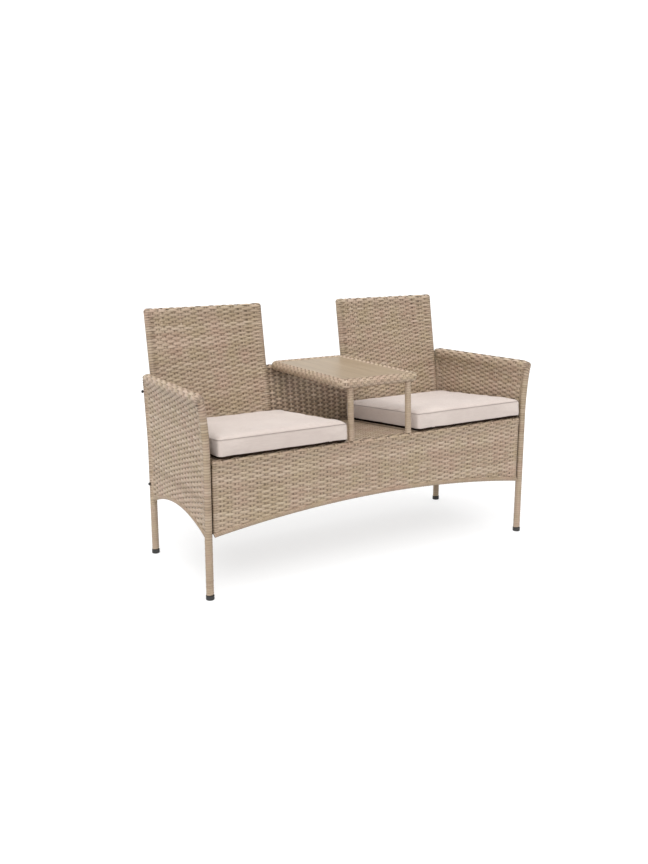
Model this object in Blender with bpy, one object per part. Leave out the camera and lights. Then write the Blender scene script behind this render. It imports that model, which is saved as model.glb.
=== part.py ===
"""Two-seat wicker garden bench with a table built in between its seats.

Metres, +Z up, the front faces -Y. The origin is on the floor under the middle of the whole bench.
Sizes below are counted from the middle between the legs; the last step shifts the bench in depth.
The steel tubes are modelled at the size they have with their wound strand; the woven skins are
solid panels between the tubes. Loose cushions lie on the two seats.
"""

from math import atan2, ceil, cos, hypot, pi, radians, sin, tan

import bmesh
import bpy
from mathutils import Vector

# Clearance between pieces that touch
FIT = 0.0003

# Tubes, outside diameters with the wound strand
LEG_D = 0.024
SEAT_TUBE_D = 0.024
BACK_TUBE_D = 0.024
ARM_RAIL_D = 0.032
MID_BAR_D = 0.020
EDGE_TUBE_D = 0.014
POST_D = 0.021
RIM_D = 0.032
BEARER_D = 0.012

# Arms
FRONT_LEG_X = 0.620
ARM_SPLAY = 0.009
REAR_LEG_X = FRONT_LEG_X - ARM_SPLAY
LEG_Y = 0.236
ARM_RAIL_FRONT_Z = 0.619
ARM_RAIL_DROP = 0.008
ARM_FRONT_FLARE = 0.015
ARM_REAR_FLARE = 0.001
FLARE_START_Z = 0.430
ARM_EDGE_Z = 0.186
ARM_ARCH_RISE = 0.051
ARM_PANEL_T = 0.010
ARM_ROUND = 0.005

# Feet
FOOT_D = 0.0265
FOOT_H = 0.014
FOOT_FLOOR_T = 0.004
FOOT_CHAMFER = 0.0015

# Seat frame
SEAT_FRONT_Z = 0.422
SEAT_DROP = 0.038
SEAT_TO_LEG = 0.0035
SEAT_HALF_W = FRONT_LEG_X - LEG_D / 2 - SEAT_TO_LEG
OUTER_BAR_TO_ARM = 0.003
OUTER_BAR_X = REAR_LEG_X - MID_BAR_D / 2 - OUTER_BAR_TO_ARM - SEAT_TUBE_D / 2
DECK_T = 0.005
DECK_BELOW_TUBE_TOP = 0.0005

# Apron under the front rail
APRON_FACE_SETBACK = 0.001
APRON_T = 0.008
APRON_EDGE_Z = 0.195
APRON_ARCH_RISE = 0.0465

# Back frame
BACK_TO_LEG = 0.0025
BACK_HALF_W = REAR_LEG_X - LEG_D / 2 - BACK_TO_LEG
BACK_FOOT_Y = 0.230
BACK_FOOT_Z = 0.250
BACK_FOOT_STUB = 0.016
BACK_BEND_Z = 0.450
BACK_BEND_R = 0.200
BACK_LEAN = radians(9.8)
BACK_TOP_Z = 0.837
BACK_PANEL_T = 0.010
BACK_ROUND = 0.004

# Table
TABLE_TOP_Z = 0.635
TABLE_HALF_W = 0.1565
TABLE_TO_BACK = 0.0025
BACK_GAP_HALF_W = TABLE_HALF_W + TABLE_TO_BACK
TABLE_FRONT_Y = -0.244
TABLE_REAR_Y = 0.2475
RIM_BEND_R = 0.018
BOARD_T = 0.008
BOARD_SUNK = 0.004
BEARER_Y = 0.120
POST_INSET = 0.0435
POST_X = TABLE_HALF_W - POST_INSET
INNER_BAR_TO_POST = 0.029
INNER_BAR_X = POST_X + INNER_BAR_TO_POST

# Cushions
CUSHION_T = 0.062
CUSHION_CROWN = 0.008
CUSHION_CORNER_R = 0.018
CUSHION_DRAW = 0.005
CUSHION_EDGE_R = 0.009
CUSHION_OVERHANG = 0.004
CUSHION_TO_ARM = 0.0115
CUSHION_TO_POST = 0.011
CUSHION_TO_BACK = 0.0087

# Fasteners
BOLT_D = 0.006
BOLT_HOLE_D = 0.0066
BOLT_HEAD_D = 0.011
BOLT_HEAD_T = 0.005
ARM_BOLT_BELOW_RAIL = 0.046
ARM_BOLT_TOP_Z = ARM_RAIL_FRONT_Z - ARM_RAIL_DROP - ARM_BOLT_BELOW_RAIL
SEAT_BOLT_Y = 0.130
STILE_THREAD = 0.016
MID_BAR_THREAD = 0.012
SCREW_D = 0.004
SCREW_HEAD_D = 0.007
SCREW_HEAD_T = 0.002
SCREW_IN_BOARD = 0.006

# Facets
SIDES = 12
WIDE_SIDES = 16
SMALL_SIDES = 10
SHADE_ANGLE = radians(40)
BEND_STEP = radians(3)
FLARE_STEPS = 5
ARM_DEPTH_STEPS = 16
UPPER_PANEL_STEPS = 6
LOWER_PANEL_STEPS = 2
APRON_STEPS = 24
TABLE_CORNER_STEPS = 4
CUSHION_CORNER_STEPS = 4
CUSHION_SIDE_STEPS = 5
CUSHION_EDGE_CUT = 0.3
CUSHION_CROWN_RINGS = (0.82, 0.6, 0.35)
STRAIGHT = 1e-9
RAIL_SEARCH_HALVINGS = 40

SIDE_NAMES = {-1: "left", 1: "right"}


def clear_scene():
    for obj in list(bpy.data.objects):
        bpy.data.objects.remove(obj, do_unlink=True)


def material(name, color, roughness, metallic=0.0):
    mat = bpy.data.materials.new(name)
    mat.use_nodes = True
    bsdf = mat.node_tree.nodes["Principled BSDF"]
    bsdf.inputs["Base Color"].default_value = (*color, 1.0)
    bsdf.inputs["Roughness"].default_value = roughness
    bsdf.inputs["Metallic"].default_value = metallic
    mat.diffuse_color = (*color, 1.0)
    return mat


def finish_mesh(name, bm, mat):
    bmesh.ops.recalc_face_normals(bm, faces=bm.faces)
    mesh = bpy.data.meshes.new(name)
    bm.to_mesh(mesh)
    bm.free()
    obj = bpy.data.objects.new(name, mesh)
    bpy.context.scene.collection.objects.link(obj)
    mesh.materials.append(mat)
    mesh.shade_smooth()
    mesh.set_sharp_from_angle(angle=SHADE_ANGLE)
    return obj


# Seat and arm surfaces that several pieces share

FRONT_RAIL_Y = -LEG_Y
SEAT_REAR_Y = BACK_FOOT_Y - BACK_TUBE_D / 2 - SEAT_TUBE_D / 2 - FIT
SEAT_SLOPE = atan2(SEAT_DROP, SEAT_REAR_Y - FRONT_RAIL_Y)


def seat_z(y):
    """Height of the seat tubes' axes at depth y."""
    return SEAT_FRONT_Z - (y - FRONT_RAIL_Y) * tan(SEAT_SLOPE)


def arm_rail_z(y):
    """Height of an arm rail's axis at depth y: it drops towards the rear."""
    return ARM_RAIL_FRONT_Z - ARM_RAIL_DROP * (LEG_Y + y) / (2 * LEG_Y)


def arm_x(y, z):
    """Distance of the arm's middle surface from the centre plane: splayed in plan, flared on top."""
    along = (LEG_Y - y) / (2 * LEG_Y)
    base = REAR_LEG_X + (FRONT_LEG_X - REAR_LEG_X) * along
    flare = ARM_REAR_FLARE + (ARM_FRONT_FLARE - ARM_REAR_FLARE) * along
    rise = max(0.0, z - FLARE_START_Z) / (arm_rail_z(y) - FLARE_START_Z)
    return base + flare * rise ** 2


def back_y(z):
    """Depth of the back frame's middle surface at height z."""
    return BACK_FOOT_Y + max(0.0, z - BACK_BEND_Z) * tan(BACK_LEAN)


def arch_z(edge_z, rise, offset, half_span):
    """Height of a shallow circular arch whose ends are at edge_z."""
    radius = (half_span ** 2 + rise ** 2) / (2 * rise)
    return edge_z + rise - radius + (radius ** 2 - offset ** 2) ** 0.5


# Tubes

def bent(points, radius):
    """The points of a path with its inner corners replaced by arcs."""
    path = [Vector(points[0])]
    for before, corner, after in zip(points, points[1:], points[2:]):
        corner = Vector(corner)
        to_before = (Vector(before) - corner).normalized()
        to_after = (Vector(after) - corner).normalized()
        turn = pi - to_before.angle(to_after)
        reach = radius * tan(turn / 2)
        middle = (to_before + to_after).normalized()
        center = corner + middle * (radius / cos(turn / 2))
        start = (corner + to_before * reach - center).normalized()
        end = (corner + to_after * reach - center).normalized()
        count = max(2, ceil(turn / BEND_STEP))
        for i in range(count + 1):
            path.append(center + start.slerp(end, i / count) * radius)
    path.append(Vector(points[-1]))
    return path


def ring_frames(path, closed):
    """A tangent and two normals at each point of a path, without twist."""
    count = len(path)
    tangents = []
    for i in range(count):
        before = path[i - 1] if closed or i > 0 else path[i]
        after = path[(i + 1) % count] if closed or i < count - 1 else path[i]
        tangents.append((after - before).normalized())
    seed = Vector((0, 0, 1)) if abs(tangents[0].z) < 0.9 else Vector((1, 0, 0))
    normal = (seed - tangents[0] * seed.dot(tangents[0])).normalized()
    frames = []
    for tangent in tangents:
        normal = (normal - tangent * normal.dot(tangent)).normalized()
        frames.append((tangent, normal, tangent.cross(normal)))
    return frames


def tube_mesh(path, diameter, sides, closed=False, end_round=0.0):
    """A round bar swept along a path, open paths capped and, if asked, chamfered at both ends."""
    path = [Vector(p) for p in path]
    radii = [diameter / 2] * len(path)
    if end_round and not closed:
        start = (path[1] - path[0]).normalized()
        end = (path[-2] - path[-1]).normalized()
        path = [path[0], path[0] + start * end_round] + path[1:-1] + [path[-1] + end * end_round, path[-1]]
        radii = [diameter / 2 - end_round] + [diameter / 2] * (len(path) - 2) + [diameter / 2 - end_round]
    frames = ring_frames(path, closed)
    count = len(path)
    bm = bmesh.new()
    rings = []
    for i, (point, radius) in enumerate(zip(path, radii)):
        stretch = 1.0
        if 0 < i < count - 1 or closed:
            before = (point - path[i - 1]).normalized()
            after = (path[(i + 1) % count] - point).normalized()
            stretch = 1 / cos(before.angle(after) / 2)
        tangent, normal, side = frames[i]
        turn = Vector((0, 0, 0)) if stretch == 1.0 else (after - before)
        inward = turn.normalized() if turn.length > STRAIGHT else None
        ring = []
        for k in range(sides):
            angle = 2 * pi * (k + 0.5) / sides
            offset = (normal * cos(angle) + side * sin(angle)) * radius
            if inward is not None:
                offset += inward * offset.dot(inward) * (stretch - 1)
            ring.append(bm.verts.new(point + offset))
        rings.append(ring)
    pairs = list(zip(rings, rings[1:]))
    if closed:
        pairs.append((rings[-1], rings[0]))
    for low, high in pairs:
        for k in range(sides):
            bm.faces.new((low[k], low[(k + 1) % sides], high[(k + 1) % sides], high[k]))
    if not closed:
        bm.faces.new(rings[0])
        bm.faces.new(rings[-1])
    return bm


TUBES = {}


def tube(name, path, diameter, mat, sides=SIDES, closed=False, end_round=0.0):
    TUBES[name] = (path, diameter, sides, closed)
    return finish_mesh(name, tube_mesh(path, diameter, sides, closed, end_round), mat)


# Cuts

CUTTERS = {}


def cutter_object(key, bm):
    """A hidden guide that cuts other pieces."""
    bmesh.ops.recalc_face_normals(bm, faces=bm.faces)
    mesh = bpy.data.meshes.new(key)
    bm.to_mesh(mesh)
    bm.free()
    guide = bpy.data.objects.new(key, mesh)
    bpy.context.scene.collection.objects.link(guide)
    guide.hide_render = True
    guide.display_type = "WIRE"
    CUTTERS[key] = guide
    return guide


def cut(obj, guide):
    cutting = obj.modifiers.new("cut_" + guide.name, "BOOLEAN")
    cutting.operation = "DIFFERENCE"
    cutting.solver = "EXACT"
    cutting.object = guide


def cope(obj, *neighbours):
    """Cut the piece to the outside of the tubes that it meets, less the fitting clearance."""
    for name in neighbours:
        key = "around_" + name
        if key not in CUTTERS:
            path, diameter, sides, closed = TUBES[name]
            cutter_object(key, tube_mesh(path, diameter + 2 * FIT, sides, closed))
        cut(obj, CUTTERS[key])


def drill(obj, key, start, end, diameter):
    if key not in CUTTERS:
        cutter_object(key, tube_mesh([start, end], diameter, SMALL_SIDES))
    cut(obj, CUTTERS[key])


# Woven panels

def slab(name, rows, thickness, mat):
    """A closed sheet of even thickness through a grid of points, rows of equal length."""
    bm = bmesh.new()
    layers = []
    for sign in (-1, 1):
        layer = []
        for i, row in enumerate(rows):
            verts = []
            for j, point in enumerate(row):
                along = row[min(j + 1, len(row) - 1)] - row[max(j - 1, 0)]
                up = rows[min(i + 1, len(rows) - 1)][j] - rows[max(i - 1, 0)][j]
                normal = along.cross(up).normalized()
                verts.append(bm.verts.new(point + normal * sign * thickness / 2))
            layer.append(verts)
        layers.append(layer)
    row_count = len(rows)
    col_count = len(rows[0])
    for layer in layers:
        for i in range(row_count - 1):
            for j in range(col_count - 1):
                bm.faces.new((layer[i][j], layer[i][j + 1], layer[i + 1][j + 1], layer[i + 1][j]))
    border = [(0, j) for j in range(col_count)] + [(i, col_count - 1) for i in range(1, row_count)]
    border += [(row_count - 1, j) for j in range(col_count - 2, -1, -1)]
    border += [(i, 0) for i in range(row_count - 2, 0, -1)]
    for (i, j), (m, n) in zip(border, border[1:] + border[:1]):
        bm.faces.new((layers[0][i][j], layers[0][m][n], layers[1][m][n], layers[1][i][j]))
    return finish_mesh(name, bm, mat)


def spaced(start, end, steps):
    """Evenly spaced values from start to end, both included."""
    return [start + (end - start) * i / steps for i in range(steps + 1)]


# Turned and headed small parts

def turned(name, center, profile, mat, sides=WIDE_SIDES):
    """A solid of revolution about a vertical axis; the profile runs from axis to axis."""
    bm = bmesh.new()
    rings = []
    for radius, height in profile:
        if radius == 0:
            rings.append([bm.verts.new((center[0], center[1], center[2] + height))])
            continue
        ring = []
        for k in range(sides):
            angle = 2 * pi * k / sides
            x = center[0] + radius * cos(angle)
            y = center[1] + radius * sin(angle)
            ring.append(bm.verts.new((x, y, center[2] + height)))
        rings.append(ring)
    for low, high in zip(rings, rings[1:]):
        for k in range(sides):
            following = (k + 1) % sides
            if len(low) == 1:
                bm.faces.new((low[0], high[following], high[k]))
            elif len(high) == 1:
                bm.faces.new((low[k], low[following], high[0]))
            else:
                bm.faces.new((low[k], low[following], high[following], high[k]))
    return finish_mesh(name, bm, mat)


def stepped_pin(name, start, direction, steps, mat, sides=SMALL_SIDES):
    """A pin of several diameters: steps are (distance along the pin, radius)."""
    direction = Vector(direction)
    bm = bmesh.new()
    seed = Vector((0, 0, 1)) if abs(direction.z) < 0.9 else Vector((1, 0, 0))
    normal = (seed - direction * seed.dot(direction)).normalized()
    side = direction.cross(normal)
    rings = []
    for distance, radius in steps:
        ring = []
        for k in range(sides):
            angle = 2 * pi * (k + 0.5) / sides
            offset = (normal * cos(angle) + side * sin(angle)) * radius
            ring.append(bm.verts.new(Vector(start) + direction * distance + offset))
        rings.append(ring)
    for low, high in zip(rings, rings[1:]):
        for k in range(sides):
            bm.faces.new((low[k], low[(k + 1) % sides], high[(k + 1) % sides], high[k]))
    bm.faces.new(rings[0])
    bm.faces.new(rings[-1])
    return finish_mesh(name, bm, mat)


def headed(head_d, head_t, shank_d, length):
    """Steps of a headed pin whose shank starts under its head, at distance 0."""
    return [(-head_t, head_d / 2), (0, head_d / 2), (0, shank_d / 2), (length, shank_d / 2)]


# Sub-assemblies

def leg_path(y, foot_z, top_z):
    straight = [foot_z, FLARE_START_Z]
    flared = spaced(FLARE_START_Z, top_z, FLARE_STEPS)[1:]
    return [(arm_x(y, z), y, z) for z in straight + flared]


def mirrored(path, side):
    return [Vector((side * x, y, z)) for x, y, z in path]


def build_foot(name, x, y, mat):
    outer = FOOT_D / 2
    inner = LEG_D / 2 + FIT
    profile = [(0, 0), (outer - FOOT_CHAMFER, 0), (outer, FOOT_CHAMFER), (outer, FOOT_H),
               (inner, FOOT_H), (inner, FOOT_FLOOR_T), (0, FOOT_FLOOR_T)]
    turned(name, (x, y, 0), profile, mat)


def arm_bolt_holes(side):
    """The holes from outside through a rear leg into the back frame's outer stile."""
    holes = []
    for level, z in (("low", BACK_FOOT_Z), ("top", ARM_BOLT_TOP_Z)):
        y = (LEG_Y + back_y(z)) / 2
        start = Vector((side * (arm_x(LEG_Y, z) + LEG_D), y, z))
        end = Vector((side * (BACK_HALF_W - STILE_THREAD), y, z))
        holes.append((f"arm_bolt_{level}_{SIDE_NAMES[side]}", start, end))
    return holes


def build_arm(side, mats):
    hand = SIDE_NAMES[side]
    wicker = mats["wicker"]
    foot_z = FOOT_FLOOR_T + FIT
    rail_ends = (-LEG_Y - LEG_D / 2, LEG_Y + LEG_D / 2)
    rail_path = [(arm_x(y, arm_rail_z(y)), y, arm_rail_z(y)) for y in rail_ends]
    tube(f"arm_rail_{hand}", mirrored(rail_path, side), ARM_RAIL_D, wicker, WIDE_SIDES, end_round=ARM_ROUND)
    legs = {"front": -LEG_Y, "rear": LEG_Y}
    for place, y in legs.items():
        leg = tube(f"{place}_leg_{hand}", mirrored(leg_path(y, foot_z, arm_rail_z(y)), side), LEG_D, wicker)
        cope(leg, f"arm_rail_{hand}")
        build_foot(f"{place}_foot_{hand}", side * arm_x(y, 0), y, mats["rubber"])
        if place == "rear":
            for key, start, end in arm_bolt_holes(side):
                drill(leg, "hole_" + key, start, end, BOLT_HOLE_D)
    leg_names = [f"front_leg_{hand}", f"rear_leg_{hand}"]

    bar_path = mirrored([(arm_x(y, seat_z(y)), y, seat_z(y)) for y in (-LEG_Y, LEG_Y)], side)
    mid_bar = tube(f"arm_mid_bar_{hand}", bar_path, MID_BAR_D, wicker)
    cope(mid_bar, *leg_names)

    def edge_z(y):
        return arch_z(ARM_EDGE_Z, ARM_ARCH_RISE, y, LEG_Y) + EDGE_TUBE_D / 2

    depths = spaced(-LEG_Y, LEG_Y, ARM_DEPTH_STEPS)
    arch_path = mirrored([(arm_x(y, edge_z(y)), y, edge_z(y)) for y in depths], side)
    arch = tube(f"arm_arch_rail_{hand}", arch_path, EDGE_TUBE_D, wicker, SMALL_SIDES)
    cope(arch, *leg_names)

    for level, low, high, steps in (("upper", seat_z, arm_rail_z, UPPER_PANEL_STEPS),
                                    ("lower", edge_z, seat_z, LOWER_PANEL_STEPS)):
        rows = []
        for share in spaced(0, 1, steps):
            heights = [low(y) + (high(y) - low(y)) * share for y in depths]
            rows.append(mirrored([(arm_x(y, z), y, z) for y, z in zip(depths, heights)], side))
        panel = slab(f"arm_{level}_panel_{hand}", rows, ARM_PANEL_T, wicker)
        edge = f"arm_rail_{hand}" if level == "upper" else f"arm_arch_rail_{hand}"
        cope(panel, *leg_names, f"arm_mid_bar_{hand}", edge)


def build_seat(mats):
    wicker = mats["wicker"]
    rear_z = seat_z(SEAT_REAR_Y)
    front = [(-SEAT_HALF_W, FRONT_RAIL_Y, SEAT_FRONT_Z), (SEAT_HALF_W, FRONT_RAIL_Y, SEAT_FRONT_Z)]
    rear_x = OUTER_BAR_X + SEAT_TUBE_D / 2
    rear = [(-rear_x, SEAT_REAR_Y, rear_z), (rear_x, SEAT_REAR_Y, rear_z)]
    tube("seat_front_rail", front, SEAT_TUBE_D, wicker)
    tube("seat_rear_rail", rear, SEAT_TUBE_D, wicker)
    lanes = {f"{place}_bar_{SIDE_NAMES[side]}": side * x
             for side in (-1, 1) for place, x in (("outer", OUTER_BAR_X), ("inner", INNER_BAR_X))}
    for place, x in lanes.items():
        path = [(x, FRONT_RAIL_Y, SEAT_FRONT_Z), (x, SEAT_REAR_Y, rear_z)]
        bar = tube(f"seat_{place}", path, SEAT_TUBE_D, wicker)
        cope(bar, "seat_front_rail", "seat_rear_rail")
        if place.startswith("outer"):
            for key, start, end in seat_bolt_holes(-1 if x < 0 else 1):
                drill(bar, "hole_" + key, start, end, BOLT_HOLE_D)

    raise_by = SEAT_TUBE_D / 2 - DECK_BELOW_TUBE_TOP - DECK_T / 2
    spans = {"seat_deck_left": (-OUTER_BAR_X, -INNER_BAR_X, "outer_bar_left", "inner_bar_left"),
             "shelf_deck": (-INNER_BAR_X, INNER_BAR_X, "inner_bar_left", "inner_bar_right"),
             "seat_deck_right": (INNER_BAR_X, OUTER_BAR_X, "inner_bar_right", "outer_bar_right")}
    for name, (x_from, x_to, bar_a, bar_b) in spans.items():
        rows = [[Vector((x, y, seat_z(y) + raise_by)) for x in (x_from, x_to)]
                for y in (FRONT_RAIL_Y, SEAT_REAR_Y)]
        deck = slab(name, rows, DECK_T, wicker)
        cope(deck, "seat_front_rail", "seat_rear_rail", f"seat_{bar_a}", f"seat_{bar_b}")


def seat_bolt_holes(side):
    """Holes through an outer seat bar; the bolts end in the arm's middle bar."""
    holes = []
    for place, y in (("front", -SEAT_BOLT_Y), ("rear", SEAT_BOLT_Y)):
        z = seat_z(y)
        start = Vector((side * (OUTER_BAR_X - SEAT_TUBE_D), y, z))
        end = Vector((side * (arm_x(y, z) - MID_BAR_D / 2 + MID_BAR_THREAD), y, z))
        holes.append((f"seat_bolt_{place}_{SIDE_NAMES[side]}", start, end))
    return holes


def build_apron(mats):
    wicker = mats["wicker"]
    plane_y = FRONT_RAIL_Y - SEAT_TUBE_D / 2 + APRON_FACE_SETBACK + EDGE_TUBE_D / 2
    end_x = SEAT_HALF_W - EDGE_TUBE_D / 2

    def edge_z(x):
        return arch_z(APRON_EDGE_Z, APRON_ARCH_RISE, x, SEAT_HALF_W) + EDGE_TUBE_D / 2

    stations = spaced(-SEAT_HALF_W, SEAT_HALF_W, APRON_STEPS)
    tube("apron_arch_rail", [(x, plane_y, edge_z(x)) for x in stations], EDGE_TUBE_D, wicker, SMALL_SIDES)
    for side, hand in SIDE_NAMES.items():
        path = [(side * end_x, plane_y, edge_z(end_x)), (side * end_x, plane_y, SEAT_FRONT_Z)]
        bar = tube(f"apron_end_bar_{hand}", path, EDGE_TUBE_D, wicker, SMALL_SIDES)
        cope(bar, "seat_front_rail", "apron_arch_rail")
    inner = [x * end_x / SEAT_HALF_W for x in stations]
    rows = [[Vector((x, plane_y, edge_z(x))) for x in inner],
            [Vector((x, plane_y, SEAT_FRONT_Z)) for x in inner]]
    panel = slab("apron_panel", rows, APRON_T, wicker)
    cope(panel, "seat_front_rail", "apron_arch_rail", "apron_end_bar_left", "apron_end_bar_right")


def stile_path(x, top_z):
    foot = Vector((x, BACK_FOOT_Y, BACK_FOOT_Z - BACK_FOOT_STUB))
    bend = Vector((x, BACK_FOOT_Y, BACK_BEND_Z))
    top = Vector((x, back_y(top_z), top_z))
    return bent([foot, bend, top], BACK_BEND_R)


def build_back(mats):
    wicker = mats["wicker"]
    outer_x = BACK_HALF_W - BACK_TUBE_D / 2
    inner_x = BACK_GAP_HALF_W + BACK_TUBE_D / 2
    rail_z = BACK_TOP_Z - BACK_TUBE_D / 2
    foot_rail = [(-outer_x, BACK_FOOT_Y, BACK_FOOT_Z), (outer_x, BACK_FOOT_Y, BACK_FOOT_Z)]
    for side, hand in SIDE_NAMES.items():
        outer = tube(f"back_outer_stile_{hand}", stile_path(side * outer_x, BACK_TOP_Z), BACK_TUBE_D,
                     wicker, end_round=BACK_ROUND)
        for key, start, end in arm_bolt_holes(side):
            drill(outer, "hole_" + key, start, end, BOLT_HOLE_D)
    lower = tube("back_lower_rail", foot_rail, BACK_TUBE_D, wicker)
    cope(lower, "back_outer_stile_left", "back_outer_stile_right")

    middle_z = middle_rail_z()
    for side, hand in SIDE_NAMES.items():
        path = stile_path(side * inner_x, BACK_TOP_Z)
        path[0] = Vector((side * inner_x, BACK_FOOT_Y, BACK_FOOT_Z))
        inner = tube(f"back_inner_stile_{hand}", path, BACK_TUBE_D, wicker, end_round=BACK_ROUND)
        cope(inner, "back_lower_rail")
        rail = tube(f"back_top_rail_{hand}", [(side * inner_x, back_y(rail_z), rail_z),
                                              (side * outer_x, back_y(rail_z), rail_z)],
                    BACK_TUBE_D, wicker)
        cope(rail, f"back_inner_stile_{hand}", f"back_outer_stile_{hand}")
    middle = tube("back_middle_rail", [(-inner_x, back_y(middle_z), middle_z),
                                       (inner_x, back_y(middle_z), middle_z)], BACK_TUBE_D, wicker)
    cope(middle, "back_inner_stile_left", "back_inner_stile_right")

    def back_panel(name, x_from, x_to, top_z, around):
        levels = [BACK_FOOT_Z, BACK_BEND_Z, top_z]
        rows = [[Vector((x, back_y(z), z)) for x in (x_from, x_to)] for z in levels]
        cope(slab(name, rows, BACK_PANEL_T, wicker), "back_lower_rail", *around)

    for side, hand in SIDE_NAMES.items():
        back_panel(f"back_panel_{hand}", side * inner_x, side * outer_x, rail_z,
                   [f"back_inner_stile_{hand}", f"back_outer_stile_{hand}", f"back_top_rail_{hand}"])
    back_panel("back_middle_panel", -inner_x, inner_x, middle_z,
               ["back_inner_stile_left", "back_inner_stile_right", "back_middle_rail"])


RIM_Z = TABLE_TOP_Z - RIM_D / 2
RIM_REAR_Y = TABLE_REAR_Y - RIM_D / 2
RIM_FRONT_Y = TABLE_FRONT_Y + RIM_D / 2


def middle_rail_z():
    """Height at which the rail behind the table just touches the table's rim from below."""
    reach = (RIM_D + BACK_TUBE_D) / 2 + FIT
    low = RIM_Z - reach
    high = RIM_Z
    for _ in range(RAIL_SEARCH_HALVINGS):
        middle = (low + high) / 2
        if hypot(back_y(middle) - RIM_REAR_Y, middle - RIM_Z) > reach:
            low = middle
        else:
            high = middle
    return low


def rounded_rectangle(half_w, front_y, rear_y, radius, z, steps):
    """Points around a rectangle with round corners, counter-clockwise from above."""
    corners = [(half_w - radius, rear_y - radius, 0), (-half_w + radius, rear_y - radius, 1),
               (-half_w + radius, front_y + radius, 2), (half_w - radius, front_y + radius, 3)]
    points = []
    for x, y, quarter in corners:
        for i in range(steps + 1):
            angle = pi / 2 * (quarter + i / steps)
            points.append(Vector((x + radius * cos(angle), y + radius * sin(angle), z)))
    return points


def build_table(mats):
    wicker = mats["wicker"]
    rim_half_w = TABLE_HALF_W - RIM_D / 2
    path = rounded_rectangle(rim_half_w, RIM_FRONT_Y, RIM_REAR_Y, RIM_BEND_R, RIM_Z, TABLE_CORNER_STEPS)
    tube("table_rim", path, RIM_D, wicker, WIDE_SIDES, closed=True)

    for side, hand in SIDE_NAMES.items():
        x = side * POST_X
        post = tube(f"table_post_{hand}", [(x, FRONT_RAIL_Y, SEAT_FRONT_Z), (x, RIM_FRONT_Y, RIM_Z)],
                    POST_D, wicker)
        cope(post, "seat_front_rail", "table_rim")
        cope(bpy.data.objects["shelf_deck"], f"table_post_{hand}")

    board_top = TABLE_TOP_Z - BOARD_SUNK
    bearer_z = board_top - BOARD_T - FIT - BEARER_D / 2
    for place, y in (("front", -BEARER_Y), ("rear", BEARER_Y)):
        bearer = tube(f"table_bearer_{place}", [(-rim_half_w, y, bearer_z), (rim_half_w, y, bearer_z)],
                      BEARER_D, mats["steel"], SMALL_SIDES)
        cope(bearer, "table_rim")

    board = build_board(rim_half_w, board_top, mats["board"])
    cope(board, "table_rim")
    under = bearer_z - BEARER_D / 2 - FIT
    tip = board_top - BOARD_T + SCREW_IN_BOARD
    for place, y in (("front", -BEARER_Y), ("rear", BEARER_Y)):
        key = f"hole_board_screw_{place}"
        bottom = Vector((0, y, under - SCREW_HEAD_T))
        for piece in (bpy.data.objects[f"table_bearer_{place}"], board):
            drill(piece, key, bottom, Vector((0, y, tip + FIT)), SCREW_D + 2 * FIT)
        steps = headed(SCREW_HEAD_D, SCREW_HEAD_T, SCREW_D, tip - under)
        stepped_pin(f"board_screw_{place}", (0, y, under), (0, 0, 1), steps, mats["zinc"])


def build_board(half_w, top_z, mat):
    """The smooth board that lies inside the table's rim."""
    outline = rounded_rectangle(half_w, RIM_FRONT_Y, RIM_REAR_Y, RIM_BEND_R, 0, TABLE_CORNER_STEPS)
    bm = bmesh.new()
    rings = []
    for z in (top_z - BOARD_T, top_z):
        rings.append([bm.verts.new((p.x, p.y, z)) for p in outline])
    count = len(outline)
    for k in range(count):
        following = (k + 1) % count
        bm.faces.new((rings[0][k], rings[0][following], rings[1][following], rings[1][k]))
    bm.faces.new(rings[0])
    bm.faces.new(rings[1])
    return finish_mesh("table_board", bm, mat)


# Cushions

def cushion_outline(half_w, half_l):
    """Round-cornered plan of a cushion whose sides are drawn in between the corners."""
    radius = CUSHION_CORNER_R
    per_corner = CUSHION_CORNER_STEPS
    per_side = CUSHION_SIDE_STEPS
    plan = rounded_rectangle(half_w, -half_l, half_l, radius, 0, per_corner)
    points = []
    count = len(plan)
    for k, point in enumerate(plan):
        points.append(point)
        if k % (per_corner + 1) == per_corner:
            following = plan[(k + 1) % count]
            points += [point.lerp(following, i / (per_side + 1)) for i in range(1, per_side + 1)]
    for point in points:
        u = min(1.0, abs(point.x) / (half_w - radius))
        v = min(1.0, abs(point.y) / (half_l - radius))
        if abs(point.y) > half_l - radius / 2:
            point.y -= (1 if point.y > 0 else -1) * CUSHION_DRAW * (1 - u * u)
        elif abs(point.x) > half_w - radius / 2:
            point.x -= (1 if point.x > 0 else -1) * CUSHION_DRAW * (1 - v * v)
    return points


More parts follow.
